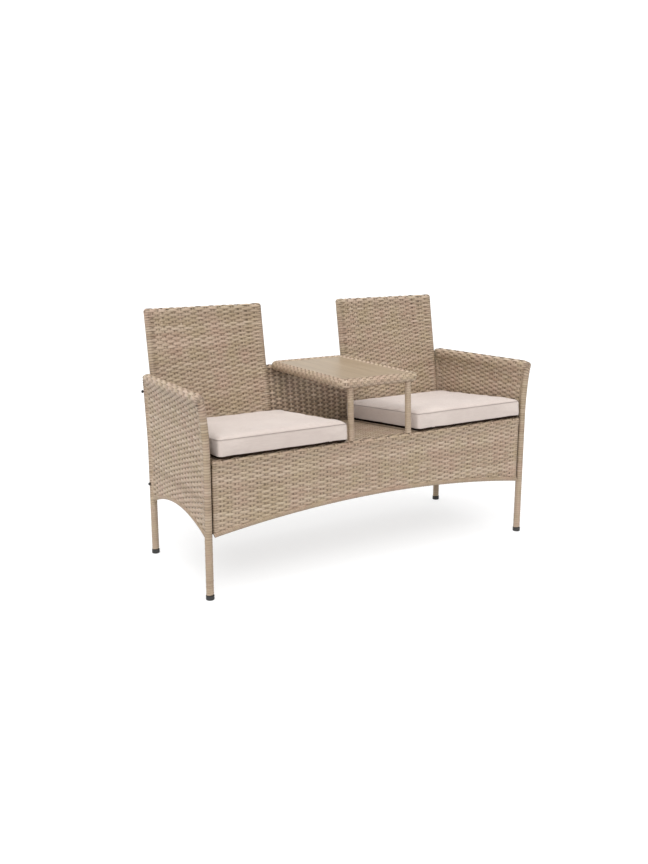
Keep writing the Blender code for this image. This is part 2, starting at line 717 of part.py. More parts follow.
def build_cushion(side, mats):
    outer_x = FRONT_LEG_X - LEG_D / 2 - CUSHION_TO_ARM
    inner_x = POST_X + POST_D / 2 + CUSHION_TO_POST
    front_y = FRONT_RAIL_Y - SEAT_TUBE_D / 2 - CUSHION_OVERHANG
    rear_y = BACK_FOOT_Y - BACK_TUBE_D / 2 - CUSHION_TO_BACK
    half_w = (outer_x - inner_x) / 2
    half_l = (rear_y - front_y) / 2 / cos(SEAT_SLOPE)
    outline = cushion_outline(half_w, half_l)
    edge = CUSHION_EDGE_R
    nick = edge * CUSHION_EDGE_CUT
    profile = [(edge, 0), (nick, nick), (0, edge), (0, CUSHION_T - edge), (nick, CUSHION_T - nick),
               (edge, CUSHION_T)]
    bm = bmesh.new()

    def ring(inset, height, shrink=1.0):
        verts = []
        for point in outline:
            scale_x = (half_w - inset) / half_w * shrink
            scale_y = (half_l - inset) / half_l * shrink
            verts.append(bm.verts.new((point.x * scale_x, point.y * scale_y, height)))
        return verts

    rings = [ring(inset, height) for inset, height in profile]
    for shrink in CUSHION_CROWN_RINGS:
        rings.append(ring(edge, CUSHION_T + CUSHION_CROWN * (1 - shrink ** 2), shrink))
    count = len(outline)
    for low, high in zip(rings, rings[1:]):
        for k in range(count):
            following = (k + 1) % count
            bm.faces.new((low[k], low[following], high[following], high[k]))
    bm.faces.new(rings[0])
    crest = bm.verts.new((0, 0, CUSHION_T + CUSHION_CROWN))
    for k in range(count):
        bm.faces.new((rings[-1][k], rings[-1][(k + 1) % count], crest))
    cushion = finish_mesh(f"seat_cushion_{SIDE_NAMES[side]}", bm, mats["cushion"])
    center_y = (front_y + rear_y) / 2
    lift = (SEAT_TUBE_D / 2 + FIT) / cos(SEAT_SLOPE)
    cushion.location = (side * (outer_x + inner_x) / 2, center_y, seat_z(center_y) + lift)
    cushion.rotation_euler = (-SEAT_SLOPE, 0, 0)


# Fasteners between the sub-assemblies

def build_bolts(mats):
    for side in SIDE_NAMES:
        for name, start, end in arm_bolt_holes(side):
            head_x = arm_x(LEG_Y, start.z) + LEG_D / 2 + FIT
            steps = headed(BOLT_HEAD_D, BOLT_HEAD_T, BOLT_D, head_x - abs(end.x) - FIT)
            stepped_pin(name, (side * head_x, start.y, start.z), (-side, 0, 0), steps, mats["bolt"])
        for name, start, end in seat_bolt_holes(side):
            head_x = OUTER_BAR_X - SEAT_TUBE_D / 2 - FIT
            steps = headed(BOLT_HEAD_D, BOLT_HEAD_T, BOLT_D, abs(end.x) - head_x - FIT)
            stepped_pin(name, (side * head_x, start.y, start.z), (side, 0, 0), steps, mats["bolt"])


def drill_mid_bars():
    for side, hand in SIDE_NAMES.items():
        bar = bpy.data.objects[f"arm_mid_bar_{hand}"]
        for key, start, end in seat_bolt_holes(side):
            drill(bar, "hole_" + key, start, end, BOLT_HOLE_D)


def centre_over_origin():
    """Shift the whole bench in depth so that the origin lies under the middle of it."""
    bpy.context.view_layer.update()
    graph = bpy.context.evaluated_depsgraph_get()
    depths = []
    for obj in bpy.data.objects:
        if not obj.hide_render:
            solid = obj.evaluated_get(graph)
            depths += [(obj.matrix_world @ vertex.co).y for vertex in solid.data.vertices]
    bench = bpy.data.objects.new("bench", None)
    bpy.context.scene.collection.objects.link(bench)
    for obj in list(bpy.data.objects):
        if obj is not bench:
            obj.parent = bench
    bench.location.y = -(min(depths) + max(depths)) / 2


def main():
    clear_scene()
    mats = {
        "wicker": material("wicker_sand", (0.46, 0.36, 0.25), 0.55),
        "rubber": material("rubber_dark", (0.03, 0.03, 0.03), 0.8),
        "board": material("table_board", (0.50, 0.42, 0.28), 0.45),
        "steel": material("frame_steel", (0.30, 0.25, 0.19), 0.45, 0.6),
        "bolt": material("bolt_black", (0.03, 0.03, 0.035), 0.4, 0.8),
        "zinc": material("zinc_plate", (0.60, 0.60, 0.58), 0.35, 1.0),
        "cushion": material("cushion_fabric", (0.76, 0.69, 0.66), 0.9),
    }
    for side in SIDE_NAMES:
        build_arm(side, mats)
    build_seat(mats)
    build_apron(mats)
    build_back(mats)
    build_table(mats)
    drill_mid_bars()
    build_bolts(mats)
    for side in SIDE_NAMES:
        build_cushion(side, mats)
    centre_over_origin()


main()
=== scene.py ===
"""The looks of a double garden bench: two woven seats with cushions, joined by a small table.

Every woven face is made of flat strands: rows run along a panel, over and under upright stakes,
and wrap the tubes at its edges. The other tubes are wound with the same strand. Metres, +Z up.
"""

from collections.abc import Callable
from dataclasses import dataclass
from math import atan2, cos, pi, radians, sin, tan

import bpy
import numpy as np
from mathutils import Matrix, Vector
from mathutils.kdtree import KDTree

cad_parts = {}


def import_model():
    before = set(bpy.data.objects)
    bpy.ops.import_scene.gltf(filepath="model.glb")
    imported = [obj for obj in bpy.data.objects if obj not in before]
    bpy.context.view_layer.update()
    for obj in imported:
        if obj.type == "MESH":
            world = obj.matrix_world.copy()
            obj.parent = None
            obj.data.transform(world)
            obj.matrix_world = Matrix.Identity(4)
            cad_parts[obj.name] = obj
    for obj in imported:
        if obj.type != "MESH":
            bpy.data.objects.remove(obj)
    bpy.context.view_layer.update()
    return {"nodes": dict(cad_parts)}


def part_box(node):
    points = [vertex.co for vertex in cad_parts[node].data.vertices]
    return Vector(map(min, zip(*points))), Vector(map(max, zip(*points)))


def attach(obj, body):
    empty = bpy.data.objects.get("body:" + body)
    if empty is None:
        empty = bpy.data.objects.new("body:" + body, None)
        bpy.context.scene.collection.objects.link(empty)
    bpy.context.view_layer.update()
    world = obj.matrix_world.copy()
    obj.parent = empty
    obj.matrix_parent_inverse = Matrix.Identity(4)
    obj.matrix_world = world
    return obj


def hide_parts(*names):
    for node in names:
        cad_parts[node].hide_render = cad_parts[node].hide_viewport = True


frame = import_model()

# Where the frame says the legs stand
FRONT_FOOT = sum(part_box("front_foot_right"), Vector()) / 2
REAR_FOOT = sum(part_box("rear_foot_right"), Vector()) / 2
LEG_Y = (REAR_FOOT.y - FRONT_FOOT.y) / 2
MID_Y = (REAR_FOOT.y + FRONT_FOOT.y) / 2
FRONT_LEG_X = FRONT_FOOT.x
REAR_LEG_X = REAR_FOOT.x
FOOT_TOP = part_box("front_foot_right")[1].z

# Tubes, as wide as they are with their winding
LEG_R = 0.012
RAIL_R = 0.012
ARM_RAIL_R = 0.016
EDGE_R = 0.007
POST_R = 0.0105
RIM_R = 0.016

# Arms
ARM_RAIL_FRONT_Z = 0.619
ARM_RAIL_DROP = 0.008
ARM_FRONT_FLARE = 0.015
ARM_REAR_FLARE = 0.001
FLARE_START_Z = 0.430
ARM_EDGE_Z = 0.186
ARM_ARCH_RISE = 0.051
ARM_REAR_LEAN = 0.018
LEAN_FROM_Z = 0.36
LEAN_RISE = 0.24
ARM_FACE_BEFORE = 0.003
ARM_INNER_DEPTH = 0.205
ARM_INNER_SETTLE = 0.060
ARM_ROW_PITCH = 0.0084
ARM_STAKE_PITCH = 0.0236
ARM_WAVE = 0.0019
ARM_COVER = 1.30
ARM_ROW_BOW = 0.40 * ARM_ARCH_RISE

# Seat and apron
SEAT_FRONT_Z = 0.422
SEAT_REAR_Y = 0.2057
SEAT_DROP = 0.038
SEAT_SLOPE = atan2(SEAT_DROP, SEAT_REAR_Y + LEG_Y)
SEAT_HALF_W = 0.6045
OUTER_BAR_X = 0.586
INNER_BAR_X = 0.142
DECK_ABOVE_AXIS = 0.0095
APRON_Y = -0.240
APRON_EDGE_Z = 0.195
APRON_ARCH_RISE = 0.0465
END_BAR_BEHIND = 0.005
DECK_TO_BAR = 0.0135
DECK_TO_FRONT = 0.014
DECK_TO_REAR = 0.012

# A near-black strip between the apron's end and the leg: a dark thing that stands for the shade in that gap
STRIP_BESIDE = 0.0075
STRIP_BEHIND = 0.006
STRIP_R = 0.005

# Back
OUTER_STILE_X = 0.5845
INNER_STILE_X = 0.171
BACK_FOOT_Y = 0.230
BACK_FOOT_Z = 0.250
BACK_BEND_Z = 0.450
BACK_LEAN = radians(9.8)
BACK_RAIL_Z = 0.825
MIDDLE_RAIL_Z = 0.607
FACE_BEFORE = 0.005
BACK_STUB = 0.016
BACK_OVER = 0.045
BACK_BEND_SOFT = 0.012
BACK_ROW_PITCH = 0.00785
BACK_STAKE_PITCH = 0.0244
BACK_WAVE = 0.0017
BACK_ROW_CLIMB = radians(4.0)
# How much darker the middle back's colour is painted: painted shade for the table's shadow on it.
MIDDLE_PAINTED_SHADE = 0.95

# Table
RIM_HALF_W = 0.1405
RIM_FRONT_Y = -0.228
RIM_REAR_Y = 0.2315
RIM_Z = 0.619
RIM_BEND_R = 0.018
RIM_ROWS = 12
RIM_STAKE_PITCH = 0.0130
RIM_WAVE = 0.0010
POST_X = 0.113
BOARD_CORNER_R = 0.012
BOARD_EDGE_R = 0.0014

# Bolts: the shank as a share of the head, and how far a tip in the weave is cut short
BOLT_SHANK = 0.545
BOLT_TIP_CUT = 0.009

# Cushions
CUSHION_HALF_W = 0.231
CUSHION_HALF_L = 0.2315
CUSHION_T = 0.062
CORNER_R = 0.011
SWELL = 0.001
CUSHION_X = 0.3655
CUSHION_Y = -0.02135
CUSHION_SHIFT = 0.008
CUSHION_ABOVE_AXIS = 0.01235
CROWN = 0.0045
SEAM_R = 0.0009
SEAM_DROP = 0.0045
SEAM_DRAW = 0.0016
SEAM_INSET = 0.0006
# How high the painted shadow along a cushion's lower edge reaches.
UNDER_RISE = 0.0085
THREAD_PITCH = 0.0011
VOXEL = 0.0052
CLOTH_FRAMES = 20

# The strand and its weave
ROW_PITCH = 0.00765
STAKE_PITCH = 0.025
STRAND_T = 0.0016
ROW_COVER = 1.18
ROW_WAVE = 0.0020
STAKE_W = 0.0066
STAKE_WAVE = 0.0006
STAKE_T = 0.0012
WIND_PITCH = 0.0078
WOVEN_DEPTH = ROW_WAVE + STRAND_T / 2
LAYER_GAP = 0.0062
RAIL_WAVE = 0.0013
EDGE_WAVE = 0.0004
ROW_WOBBLE = 0.0003
EDGE_REACH = 1.5

# Camera, and the light that it sees behind the bench
CAMERA_PLACE = (-1.6971, -2.7060, 1.1281)
CAMERA_DOWN = 12.8933
CAMERA_RIGHT = 31.2492
CAMERA_LENS = 38.77
BACKDROP = 1.15

# The outline of a strand's section, as shares of its width and its thickness. Below it, the Depth of each of
# its points where the strand winds round a tube, and where it wraps a tube at a panel's edge: painted shade,
# darker towards the strand's edges, as shade between the turns.
SECTION = np.array([(-0.5, 0.0), (-0.25, -0.45), (0.25, -0.45), (0.5, 0.0),
                    (0.36, 0.36), (0.0, 0.5), (-0.36, 0.36)])
WOUND_DEPTH = -0.22 - 0.30 * (2 * np.abs(SECTION[:, 0])) ** 3
WRAP_DEPTH = -0.02 - 2.0 * (2 * np.abs(SECTION[:, 0])) ** 3
TINY = 1e-4
SIDE_NAMES = {-1: "left", 1: "right"}
rng = np.random.default_rng(7)


def unit(a):
    return a / np.maximum(np.linalg.norm(a, axis=-1, keepdims=True), 1e-12)


def smooth(t):
    t = np.clip(t, 0.0, 1.0)
    return t * t * (3 - 2 * t)


def spaced(start, end, step):
    """Evenly spaced numbers from start to end, about a step apart."""
    return np.linspace(start, end, max(2, int(round(abs(end - start) / step)) + 1))


def arc_of(line):
    """How far along a line each of its points lies."""
    return np.concatenate([[0.0], np.cumsum(np.linalg.norm(np.diff(line, axis=0), axis=1))])


def wavering(u, slow, fast):
    """A sine along u, of a random length and start."""
    return np.sin(u * rng.uniform(slow, fast) + rng.uniform(0, 6.28))


def world(x, y, z):
    """Points from the bench's own middle, stacked in the row frame."""
    x, y, z = np.broadcast_arrays(x, y, z)
    return np.stack([x, y + MID_Y, z], axis=-1).astype(float)


class Strands:
    """Flat strands and the tubes under them, gathered into one mesh.

    The layer "Strand" holds each point's length along its strand, and the strand's number plus
    the share of its width. "Depth" is 1 where a strand stands proud and -1 where it dips; it sets the
    painted shade in the strand's colour, darkest in the dips.
    """

    def __init__(self):
        self.points, self.loops, self.sizes, self.layer, self.slots, self.depths = [], [], [], [], [], []
        self.used = 0
        self.number = int(rng.integers(1000))

    def add(self, path, out, width, thick, section=SECTION, slot=0, depth=1.0):
        n, k = len(path), len(section)
        depth = np.reshape(depth, (-1, 1)) if np.ndim(depth) < 2 else depth
        self.depths.append(np.broadcast_to(depth, (n, k)).ravel())
        tangent = unit(np.gradient(path, axis=0))
        across = unit(np.cross(tangent, out))
        out = np.cross(across, tangent)
        width = np.broadcast_to(width, n)[:, None, None]
        ring = (path[:, None] + across[:, None] * section[None, :, :1] * width
                + out[:, None] * section[None, :, 1:] * thick)
        self.points.append(ring.reshape(-1, 3))
        here = self.used + np.arange(n * k).reshape(n, k)
        after = np.roll(here, -1, axis=1)
        quads = np.stack([here[:-1], here[1:], after[1:], after[:-1]], axis=-1).reshape(-1)
        self.loops += [quads, here[0], here[-1][::-1]]
        self.sizes += [np.full((n - 1) * k, 4), np.array([k, k])]
        self.slots.append(np.full((n - 1) * k + 2, slot))
        share = 0.02 + 0.96 * (section[:, 0] + 0.5)
        layer = np.broadcast_arrays(arc_of(path)[:, None], self.number + share[None])
        self.layer.append(np.stack(layer, -1).reshape(-1, 2))
        self.used += n * k
        self.number += 1

    def core(self, path, radius, sides=12, slot=1):
        """A plain round tube, which shows only between the strands."""
        turn = -np.arange(sides) * 2 * pi / sides
        circle = np.stack([np.cos(turn), np.sin(turn)], axis=-1)
        tangent = unit(np.gradient(path, axis=0))
        up = np.array([1.0, 0.0, 0.0]) if abs(tangent[0, 0]) < 0.7 else np.array([0.0, 0.0, 1.0])
        self.add(path, unit(np.cross(np.cross(tangent, up), tangent)), radius, radius, circle, slot)

    def piece(self, name, *nodes):
        """Ends the mesh as one wicker piece of the bench, in place of these nodes."""
        mesh = bpy.data.meshes.new(name)
        points = np.concatenate(self.points)
        loops = np.concatenate(self.loops)
        sizes = np.concatenate(self.sizes)
        mesh.vertices.add(len(points))
        mesh.vertices.foreach_set("co", points.astype(np.float32).reshape(-1))
        mesh.loops.add(len(loops))
        mesh.loops.foreach_set("vertex_index", loops.astype(np.int32))
        mesh.polygons.add(len(sizes))
        mesh.polygons.foreach_set("loop_start", np.concatenate([[0], np.cumsum(sizes)[:-1]]).astype(np.int32))
        mesh.polygons.foreach_set("material_index", np.concatenate(self.slots).astype(np.int32))
        mesh.polygons.foreach_set("use_smooth", np.ones(len(sizes), bool))
        layer = mesh.uv_layers.new(name="Strand")
        layer.data.foreach_set("uv", np.concatenate(self.layer)[loops].astype(np.float32).reshape(-1))
        depth = mesh.attributes.new("Depth", "FLOAT", "POINT")
        depth.data.foreach_set("value", np.concatenate(self.depths).astype(np.float32))
        mesh.update(calc_edges=True)
        mesh.validate()
        for material in (wicker, core_steel, gap_shadow_strip):
            mesh.materials.append(material)
        dress(added(name, mesh), "bench", "wicker", *nodes)


def added(name, data):
    obj = bpy.data.objects.new(name, data)
    bpy.context.scene.collection.objects.link(obj)
    return obj


def dress(obj, body, slot, *nodes):
    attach(obj, body)
    if nodes:
        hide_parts(*nodes)


# Materials


def node_of(tree, kind, inputs=(), **settings):
    node = tree.nodes.new(kind)
    for key, value in settings.items():
        setattr(node, key, value)
    for key, value in inputs:
        if isinstance(value, bpy.types.NodeSocket):
            tree.links.new(value, node.inputs[key])
        else:
            node.inputs[key].default_value = value
    return node


def new_material(name, **values):
    mat = bpy.data.materials.new(name)
    mat.use_nodes = True
    shader = mat.node_tree.nodes["Principled BSDF"]
    for key, value in values.items():
        shader.inputs[key.replace("_", " ")].default_value = value
    return mat, mat.node_tree, shader


def math(tree, operation, a, b=0.5):
    return node_of(tree, "ShaderNodeMath", ((0, a), (1, b)), operation=operation).outputs[0]


def times(tree, a, b):
    return math(tree, "MULTIPLY", a, b)


def weighed(tree, a, share_a, b, share_b):
    return math(tree, "ADD", times(tree, a, share_a), times(tree, b, share_b))


def ranged(tree, value, low, high):
    return node_of(tree, "ShaderNodeMapRange", ((0, value), (3, low), (4, high))).outputs[0]


def object_place(tree):
    return node_of(tree, "ShaderNodeTexCoord").outputs["Object"]


def stretched(tree, place, scale):
    return node_of(tree, "ShaderNodeMapping", ((0, place), (3, scale))).outputs[0]


def vector_of(tree, x, y):
    return node_of(tree, "ShaderNodeCombineXYZ", ((0, x), (1, y))).outputs[0]


def noise(tree, vector, scale, detail=2.0, roughness=0.5):
    inputs = (("Vector", vector), ("Scale", scale), ("Detail", detail), ("Roughness", roughness))
    return node_of(tree, "ShaderNodeTexNoise", inputs).outputs[0]


def ramp(tree, factor, stops):
    node = node_of(tree, "ShaderNodeValToRGB", ((0, factor),))
    elements = node.color_ramp.elements
    while len(elements) < len(stops):
        elements.new(0.5)
    for element, (place, color) in zip(elements, stops):
        element.position = place
        element.color = (*color, 1.0)
    return node.outputs[0]


def blended(tree, factor, a, b, kind="MIX"):
    inputs = ((0, factor), (6, a), (7, b))
    return node_of(tree, "ShaderNodeMix", inputs, data_type="RGBA", blend_type=kind).outputs[2]


def tinted(tree, colour, tint):
    return blended(tree, 1.0, colour, tint, "MULTIPLY")


def bump(tree, shader, height, strength, distance):
    inputs = (("Strength", strength), ("Distance", distance), ("Height", height))
    tree.links.new(node_of(tree, "ShaderNodeBump", inputs).outputs[0], shader.inputs["Normal"])


def coat(tree, shader, colour, rough):
    tree.links.new(colour, shader.inputs["Base Color"])
    tree.links.new(rough, shader.inputs["Roughness"])


def grey(value):
    return (value, value, value)


def linear(*rgb):
    """A colour given as it shows on a screen, 0 to 255, as light."""
    shares = [c / 255 for c in rgb]
    return tuple(c / 12.92 if c <= 0.04045 else ((c + 0.055) / 1.055) ** 2.4 for c in shares)


def wicker_material():
    """Flat plastic strand: fine grooves along it, each strand of its own tone, warmer and greener patches."""
    mat, tree, shader = new_material("wicker_strand", Roughness=0.5)
    strand = node_of(tree, "ShaderNodeUVMap", uv_map="Strand").outputs[0]
    split = node_of(tree, "ShaderNodeSeparateXYZ", ((0, strand),))
    along, across = split.outputs[0], split.outputs[1]
    number = math(tree, "FLOOR", across, 0.0)
    share = math(tree, "FRACT", across, 0.0)
    own = node_of(tree, "ShaderNodeTexWhiteNoise", (("W", number),), noise_dimensions="1D").outputs[0]
    place = object_place(tree)
    stretch = noise(tree, vector_of(tree, times(tree, along, 9.0), times(tree, number, 3.7)), 1.0, 3.0)
    tone = weighed(tree, own, 0.35, stretch, 0.65)
    base = ramp(tree, tone, ((0.22, linear(141, 120, 99)), (0.45, linear(165, 145, 124)),
                             (0.62, linear(175, 156, 136)), (0.82, linear(188, 171, 153))))
    warm = noise(tree, place, 13.0, 3.0, 0.6)
    patch = ramp(tree, warm, ((0.36, linear(167, 152, 118)), (0.5, linear(172, 152, 130)),
                              (0.66, linear(176, 143, 128))))
    colour = blended(tree, 0.30, base, patch)
    fine = noise(tree, vector_of(tree, times(tree, along, 60.0), times(tree, across, 17.0)), 1.0, 3.0, 0.6)
    streak = ramp(tree, fine, ((0.3, (0.88, 0.87, 0.86)), (0.7, grey(1.06))))
    colour = tinted(tree, colour, streak)
    # Painted shade: each strand's colour darkens towards its two edges, as shade in the grooves between rows.
    edge = math(tree, "ABSOLUTE", math(tree, "SUBTRACT", share, 0.5), 0.0)
    painted_shade = ramp(tree, edge, ((0.36, grey(1.0)), (0.5, (0.80, 0.78, 0.75))))
    colour = tinted(tree, colour, painted_shade)
    # Painted shade and light from the Depth attribute: darker where a strand dips under a stake, between the
    # turns of a winding and where it wraps a tube, a touch lighter where it stands proud.
    depth = node_of(tree, "ShaderNodeAttribute", attribute_name="Depth").outputs["Fac"]
    sunk = node_of(tree, "ShaderNodeMapRange", ((0, depth), (1, -1.0), (2, 1.0))).outputs[0]
    painted_recess_shade = ramp(tree, sunk, ((0.0, (0.44, 0.42, 0.40)), (0.18, (0.74, 0.72, 0.70)),
                               (0.42, grey(0.96)), (0.9, grey(1.03))))
    coat(tree, shader, tinted(tree, colour, painted_recess_shade), ranged(tree, fine, 0.40, 0.60))
    groove = math(tree, "SINE", times(tree, share, 2 * pi * 7), 0.0)
    height = math(tree, "ADD", times(tree, groove, 0.22), fine)
    bump(tree, shader, height, 0.35, 0.0004)
    return mat


def speckled_material(name, dark, light, roughness, metallic=0.0, scale=900.0, specular=0.5):
    """A plain finish with a fine grain and a slight unevenness of tone."""
    mat, tree, shader = new_material(name, Roughness=roughness, Metallic=metallic)
    shader.inputs["Specular IOR Level"].default_value = specular
    place = object_place(tree)
    wide = noise(tree, place, scale / 30, 4.0)
    grain = noise(tree, place, scale, 2.0)
    tone = weighed(tree, wide, 0.6, grain, 0.4)
    rough = ranged(tree, wide, roughness * 0.8, roughness * 1.2)
    coat(tree, shader, ramp(tree, tone, ((0.3, linear(*dark)), (0.7, linear(*light)))), rough)
    bump(tree, shader, grain, 0.4, 0.0001)
    return mat


def cushion_material(name, dark, light):
    """Plain-weave cushion cloth: fine crossing threads, slubs along both ways and a soft sheen."""
    mat, tree, shader = new_material(name, Roughness=0.9, Sheen_Weight=0.25, Sheen_Roughness=0.6)
    place = object_place(tree)
    split = node_of(tree, "ShaderNodeSeparateXYZ", ((0, place),))
    threads = [math(tree, "SINE", times(tree, split.outputs[axis], 2 * pi / THREAD_PITCH), 0.0)
               for axis in range(3)]
    cross = times(tree, threads[0], math(tree, "ADD", threads[1], threads[2]))
    slub_x = noise(tree, stretched(tree, place, (40.0, 900.0, 900.0)), 1.0, 2.0)
    slub_y = noise(tree, stretched(tree, place, (900.0, 40.0, 900.0)), 1.0, 2.0)
    slubs = weighed(tree, slub_x, 0.5, slub_y, 0.5)
    tone = weighed(tree, slubs, 0.7, noise(tree, place, 9.0, 3.0), 0.3)
    colour = ramp(tree, tone, ((0.36, linear(*dark)), (0.64, linear(*light))))
    tree.links.new(colour, shader.inputs["Base Color"])
    height = math(tree, "ADD", times(tree, cross, 0.25), slubs)
    bump(tree, shader, height, 0.5, 0.0004)
    return mat


def board_material():
    """A moulded tan board with a faint wood grain along its depth."""
    mat, tree, shader = new_material("table_board_grain", Roughness=0.42)
    place = object_place(tree)
    grain = noise(tree, stretched(tree, place, (70.0, 2.4, 20.0)), 1.0, 4.0, 0.6)
    fibre = noise(tree, stretched(tree, place, (900.0, 14.0, 90.0)), 1.0, 2.0)
    tone = weighed(tree, grain, 0.65, fibre, 0.35)
    colour = ramp(tree, tone, ((0.34, linear(134, 117, 95)), (0.5, linear(147, 129, 106)),
                               (0.66, linear(158, 140, 117))))
    coat(tree, shader, colour, ranged(tree, grain, 0.36, 0.5))
    bump(tree, shader, tone, 0.25, 0.0004)
    return mat


wicker = wicker_material()
core_steel = speckled_material("tube_under_strands", (92, 78, 62), (118, 101, 82), 0.6)
# Near-black, for the strip that stands for the shade in the gap beside each leg.
gap_shadow_strip = speckled_material("gap_shadow_strip", (26, 18, 11), (42, 30, 20), 0.9, specular=0.1)
frame_steel = speckled_material("frame_paint", (84, 70, 56), (108, 92, 74), 0.45, scale=1400.0)
rubber = speckled_material("foot_rubber", (34, 34, 35), (58, 57, 56), 0.7, scale=1200.0)
bolt_black = speckled_material("bolt_black", (26, 26, 28), (48, 48, 50), 0.4, 0.6)
zinc = speckled_material("zinc_plate", (150, 152, 155), (196, 198, 200), 0.35, 0.9)
board_grain = board_material()
cushion_cloth = cushion_material("cushion_cloth", (177, 163, 156), (194, 182, 174))
# Darker than the cushion cloth: painted shade of the seam's groove.
seam_groove_shade_cloth = cushion_material("seam_thread_groove_shade", (134, 121, 115), (158, 145, 138))
# Near-black cloth along the cushions' lower edges: painted shadow of the gap under them.
under_shadow_cloth = speckled_material("cushion_underside_shadow", (28, 17, 10), (44, 28, 18), 0.95, specular=0.1)


# Shapes of the bench that the strands lie on


def arm_share(y):
    """0 at an arm's front leg and 1 at its rear leg."""
    return (LEG_Y + y) / (2 * LEG_Y)


def arm_rail_z(y):
    return ARM_RAIL_FRONT_Z - ARM_RAIL_DROP * arm_share(y)


def arm_flare(y):
    return ARM_FRONT_FLARE + (ARM_REAR_FLARE - ARM_FRONT_FLARE) * arm_share(y)


def arm_foot_x(y):
    return FRONT_LEG_X + (REAR_LEG_X - FRONT_LEG_X) * arm_share(y)


def arm_x(y, z):
    rise = np.maximum(0.0, z - FLARE_START_Z) / (arm_rail_z(y) - FLARE_START_Z)
    return arm_foot_x(y) + arm_flare(y) * rise**2


def rear_lean(y, z):
    """How far an arm leans back at its rear leg, and less towards its front leg."""
    return ARM_REAR_LEAN * smooth((z - LEAN_FROM_Z) / LEAN_RISE) * arm_share(y)


def back_y(z):
    return BACK_FOOT_Y + np.maximum(0.0, z - BACK_BEND_Z) * tan(BACK_LEAN)


def seat_z(y):
    return SEAT_FRONT_Z - (y + LEG_Y) * tan(SEAT_SLOPE)


def arch_z(edge_z, rise, offset, half_span):
    """The middle of the edge tube under an arch, at this offset from the arch's top."""
    radius = (half_span**2 + rise**2) / (2 * rise)
    return edge_z + rise - radius + np.sqrt(radius**2 - offset**2) + EDGE_R


def arm_arch(y):
    return arch_z(ARM_EDGE_Z, ARM_ARCH_RISE, y, LEG_Y)


def apron_arch(x):
    return arch_z(APRON_EDGE_Z, APRON_ARCH_RISE, x, SEAT_HALF_W)


class Profile:
    """A panel as a line in its end view: up a face, over a rail and down again behind the face.

    The line's first number is how far back it lies and its second is its height. The face lies
    before the tubes at its ends by before, and the rail's sleeve by reach.
    """

    def __init__(self, face, rail, rail_r, lean, reach, behind, settle=None, before=0.0):
        rail = np.array(rail)
        up = np.array([sin(lean), cos(lean)])
        front = np.array([-cos(lean), sin(lean)])
        woven_r = rail_r - WOVEN_DEPTH
        stand_off = (face[-1] - rail) @ front
        height = (face[-1] - rail) @ up
        t = np.linspace(0.0, 1.0, 16)[1:]
        rise = rail + np.outer(height * (1 - t), up)
        rise += np.outer(stand_off + (woven_r - stand_off) * smooth(t), front)
        turn = np.radians(np.arange(80.0, -91.0, -10.0))
        over = rail + woven_r * (np.outer(np.cos(turn), up) + np.outer(np.sin(turn), front))
        down = spaced(0.0, behind, 0.003)[1:]
        below = rail - np.outer(down, up)
        skin = np.stack([np.interp(below[:, 1], face[:, 1], face[:, 0]), below[:, 1]], axis=-1)
        skin_off = (skin - below) @ front - LAYER_GAP
        self.settle, self.before = settle or behind, before
        blend = smooth(down / self.settle)
        back = below + np.outer(-woven_r * (1 - blend) + skin_off * blend, front)
        self.line = np.concatenate([face, rise, over, back])
        self.arc = arc_of(self.line)
        self.rail_starts = self.arc[len(face) - 1]
        self.rail_reached = self.arc[len(face) + len(rise) - 1]
        self.rail_top = self.arc[len(face) + len(rise) + len(over) // 2]
        self.rail_left = self.arc[len(face) + len(rise) + len(over) - 1]
        self.length = self.arc[-1] - 2 * TINY
        self.reach = reach

    def back(self, v):
        return np.interp(v, self.arc, self.line[:, 0])

    def height(self, v):
        return np.interp(v, self.arc, self.line[:, 1])

    def at(self, u, v):
        return world(u, self.back(v), self.height(v))

    def on_rail(self, v):
        """1 where the line lies on the rail, 0 well below it on either side."""
        before = smooth((v - self.rail_starts) / (self.rail_reached - self.rail_starts))
        return before * smooth((self.rail_top + 0.012 - v) / 0.012)

    def lift(self, v):
        """How far the face stands off the middle of the tubes at its ends."""
        on = smooth((v - self.rail_starts) / (self.rail_reached - self.rail_starts))
        off = smooth((v - self.rail_left) / self.settle)
        return self.before * (1 - on) + on * (self.reach * (1 - off) + (LAYER_GAP - self.before) * off)


def back_profile(rail_z):
    face_z = np.linspace(BACK_FOOT_Z, rail_z - 0.030, 60)
    lean = np.logaddexp(0.0, (face_z - BACK_BEND_Z) / BACK_BEND_SOFT) * BACK_BEND_SOFT * tan(BACK_LEAN)
    face = np.stack([BACK_FOOT_Y - FACE_BEFORE + lean, face_z], axis=-1)
    return Profile(face, (back_y(rail_z), rail_z), RAIL_R, BACK_LEAN, RAIL_R - WOVEN_DEPTH, BACK_OVER,
                   before=FACE_BEFORE)


def apron_profile():
    face_z = np.linspace(APRON_EDGE_Z - 0.01, SEAT_FRONT_Z - 0.026, 20)
    face = np.stack([np.full(20, APRON_Y), face_z], axis=-1)
    return Profile(face, (-LEG_Y, SEAT_FRONT_Z), RAIL_R, 0.0, 0.006, 0.004)


def arm_profile():
    """The arm's end view at its front leg."""
    face_z = np.linspace(ARM_EDGE_Z, ARM_RAIL_FRONT_Z - 0.036, 60)
    flare = arm_x(-LEG_Y, face_z) - FRONT_LEG_X
    face = np.stack([-flare - ARM_FACE_BEFORE, face_z], axis=-1)
    lean = -atan2(2 * ARM_FRONT_FLARE, ARM_RAIL_FRONT_Z - FLARE_START_Z)
    return Profile(face, (-ARM_FRONT_FLARE, ARM_RAIL_FRONT_Z), ARM_RAIL_R, lean, ARM_RAIL_R - WOVEN_DEPTH,
                   ARM_INNER_DEPTH, ARM_INNER_SETTLE, ARM_FACE_BEFORE)


# Weaving


def no_shift(u, v):
    return np.zeros(np.broadcast(u, v).shape)


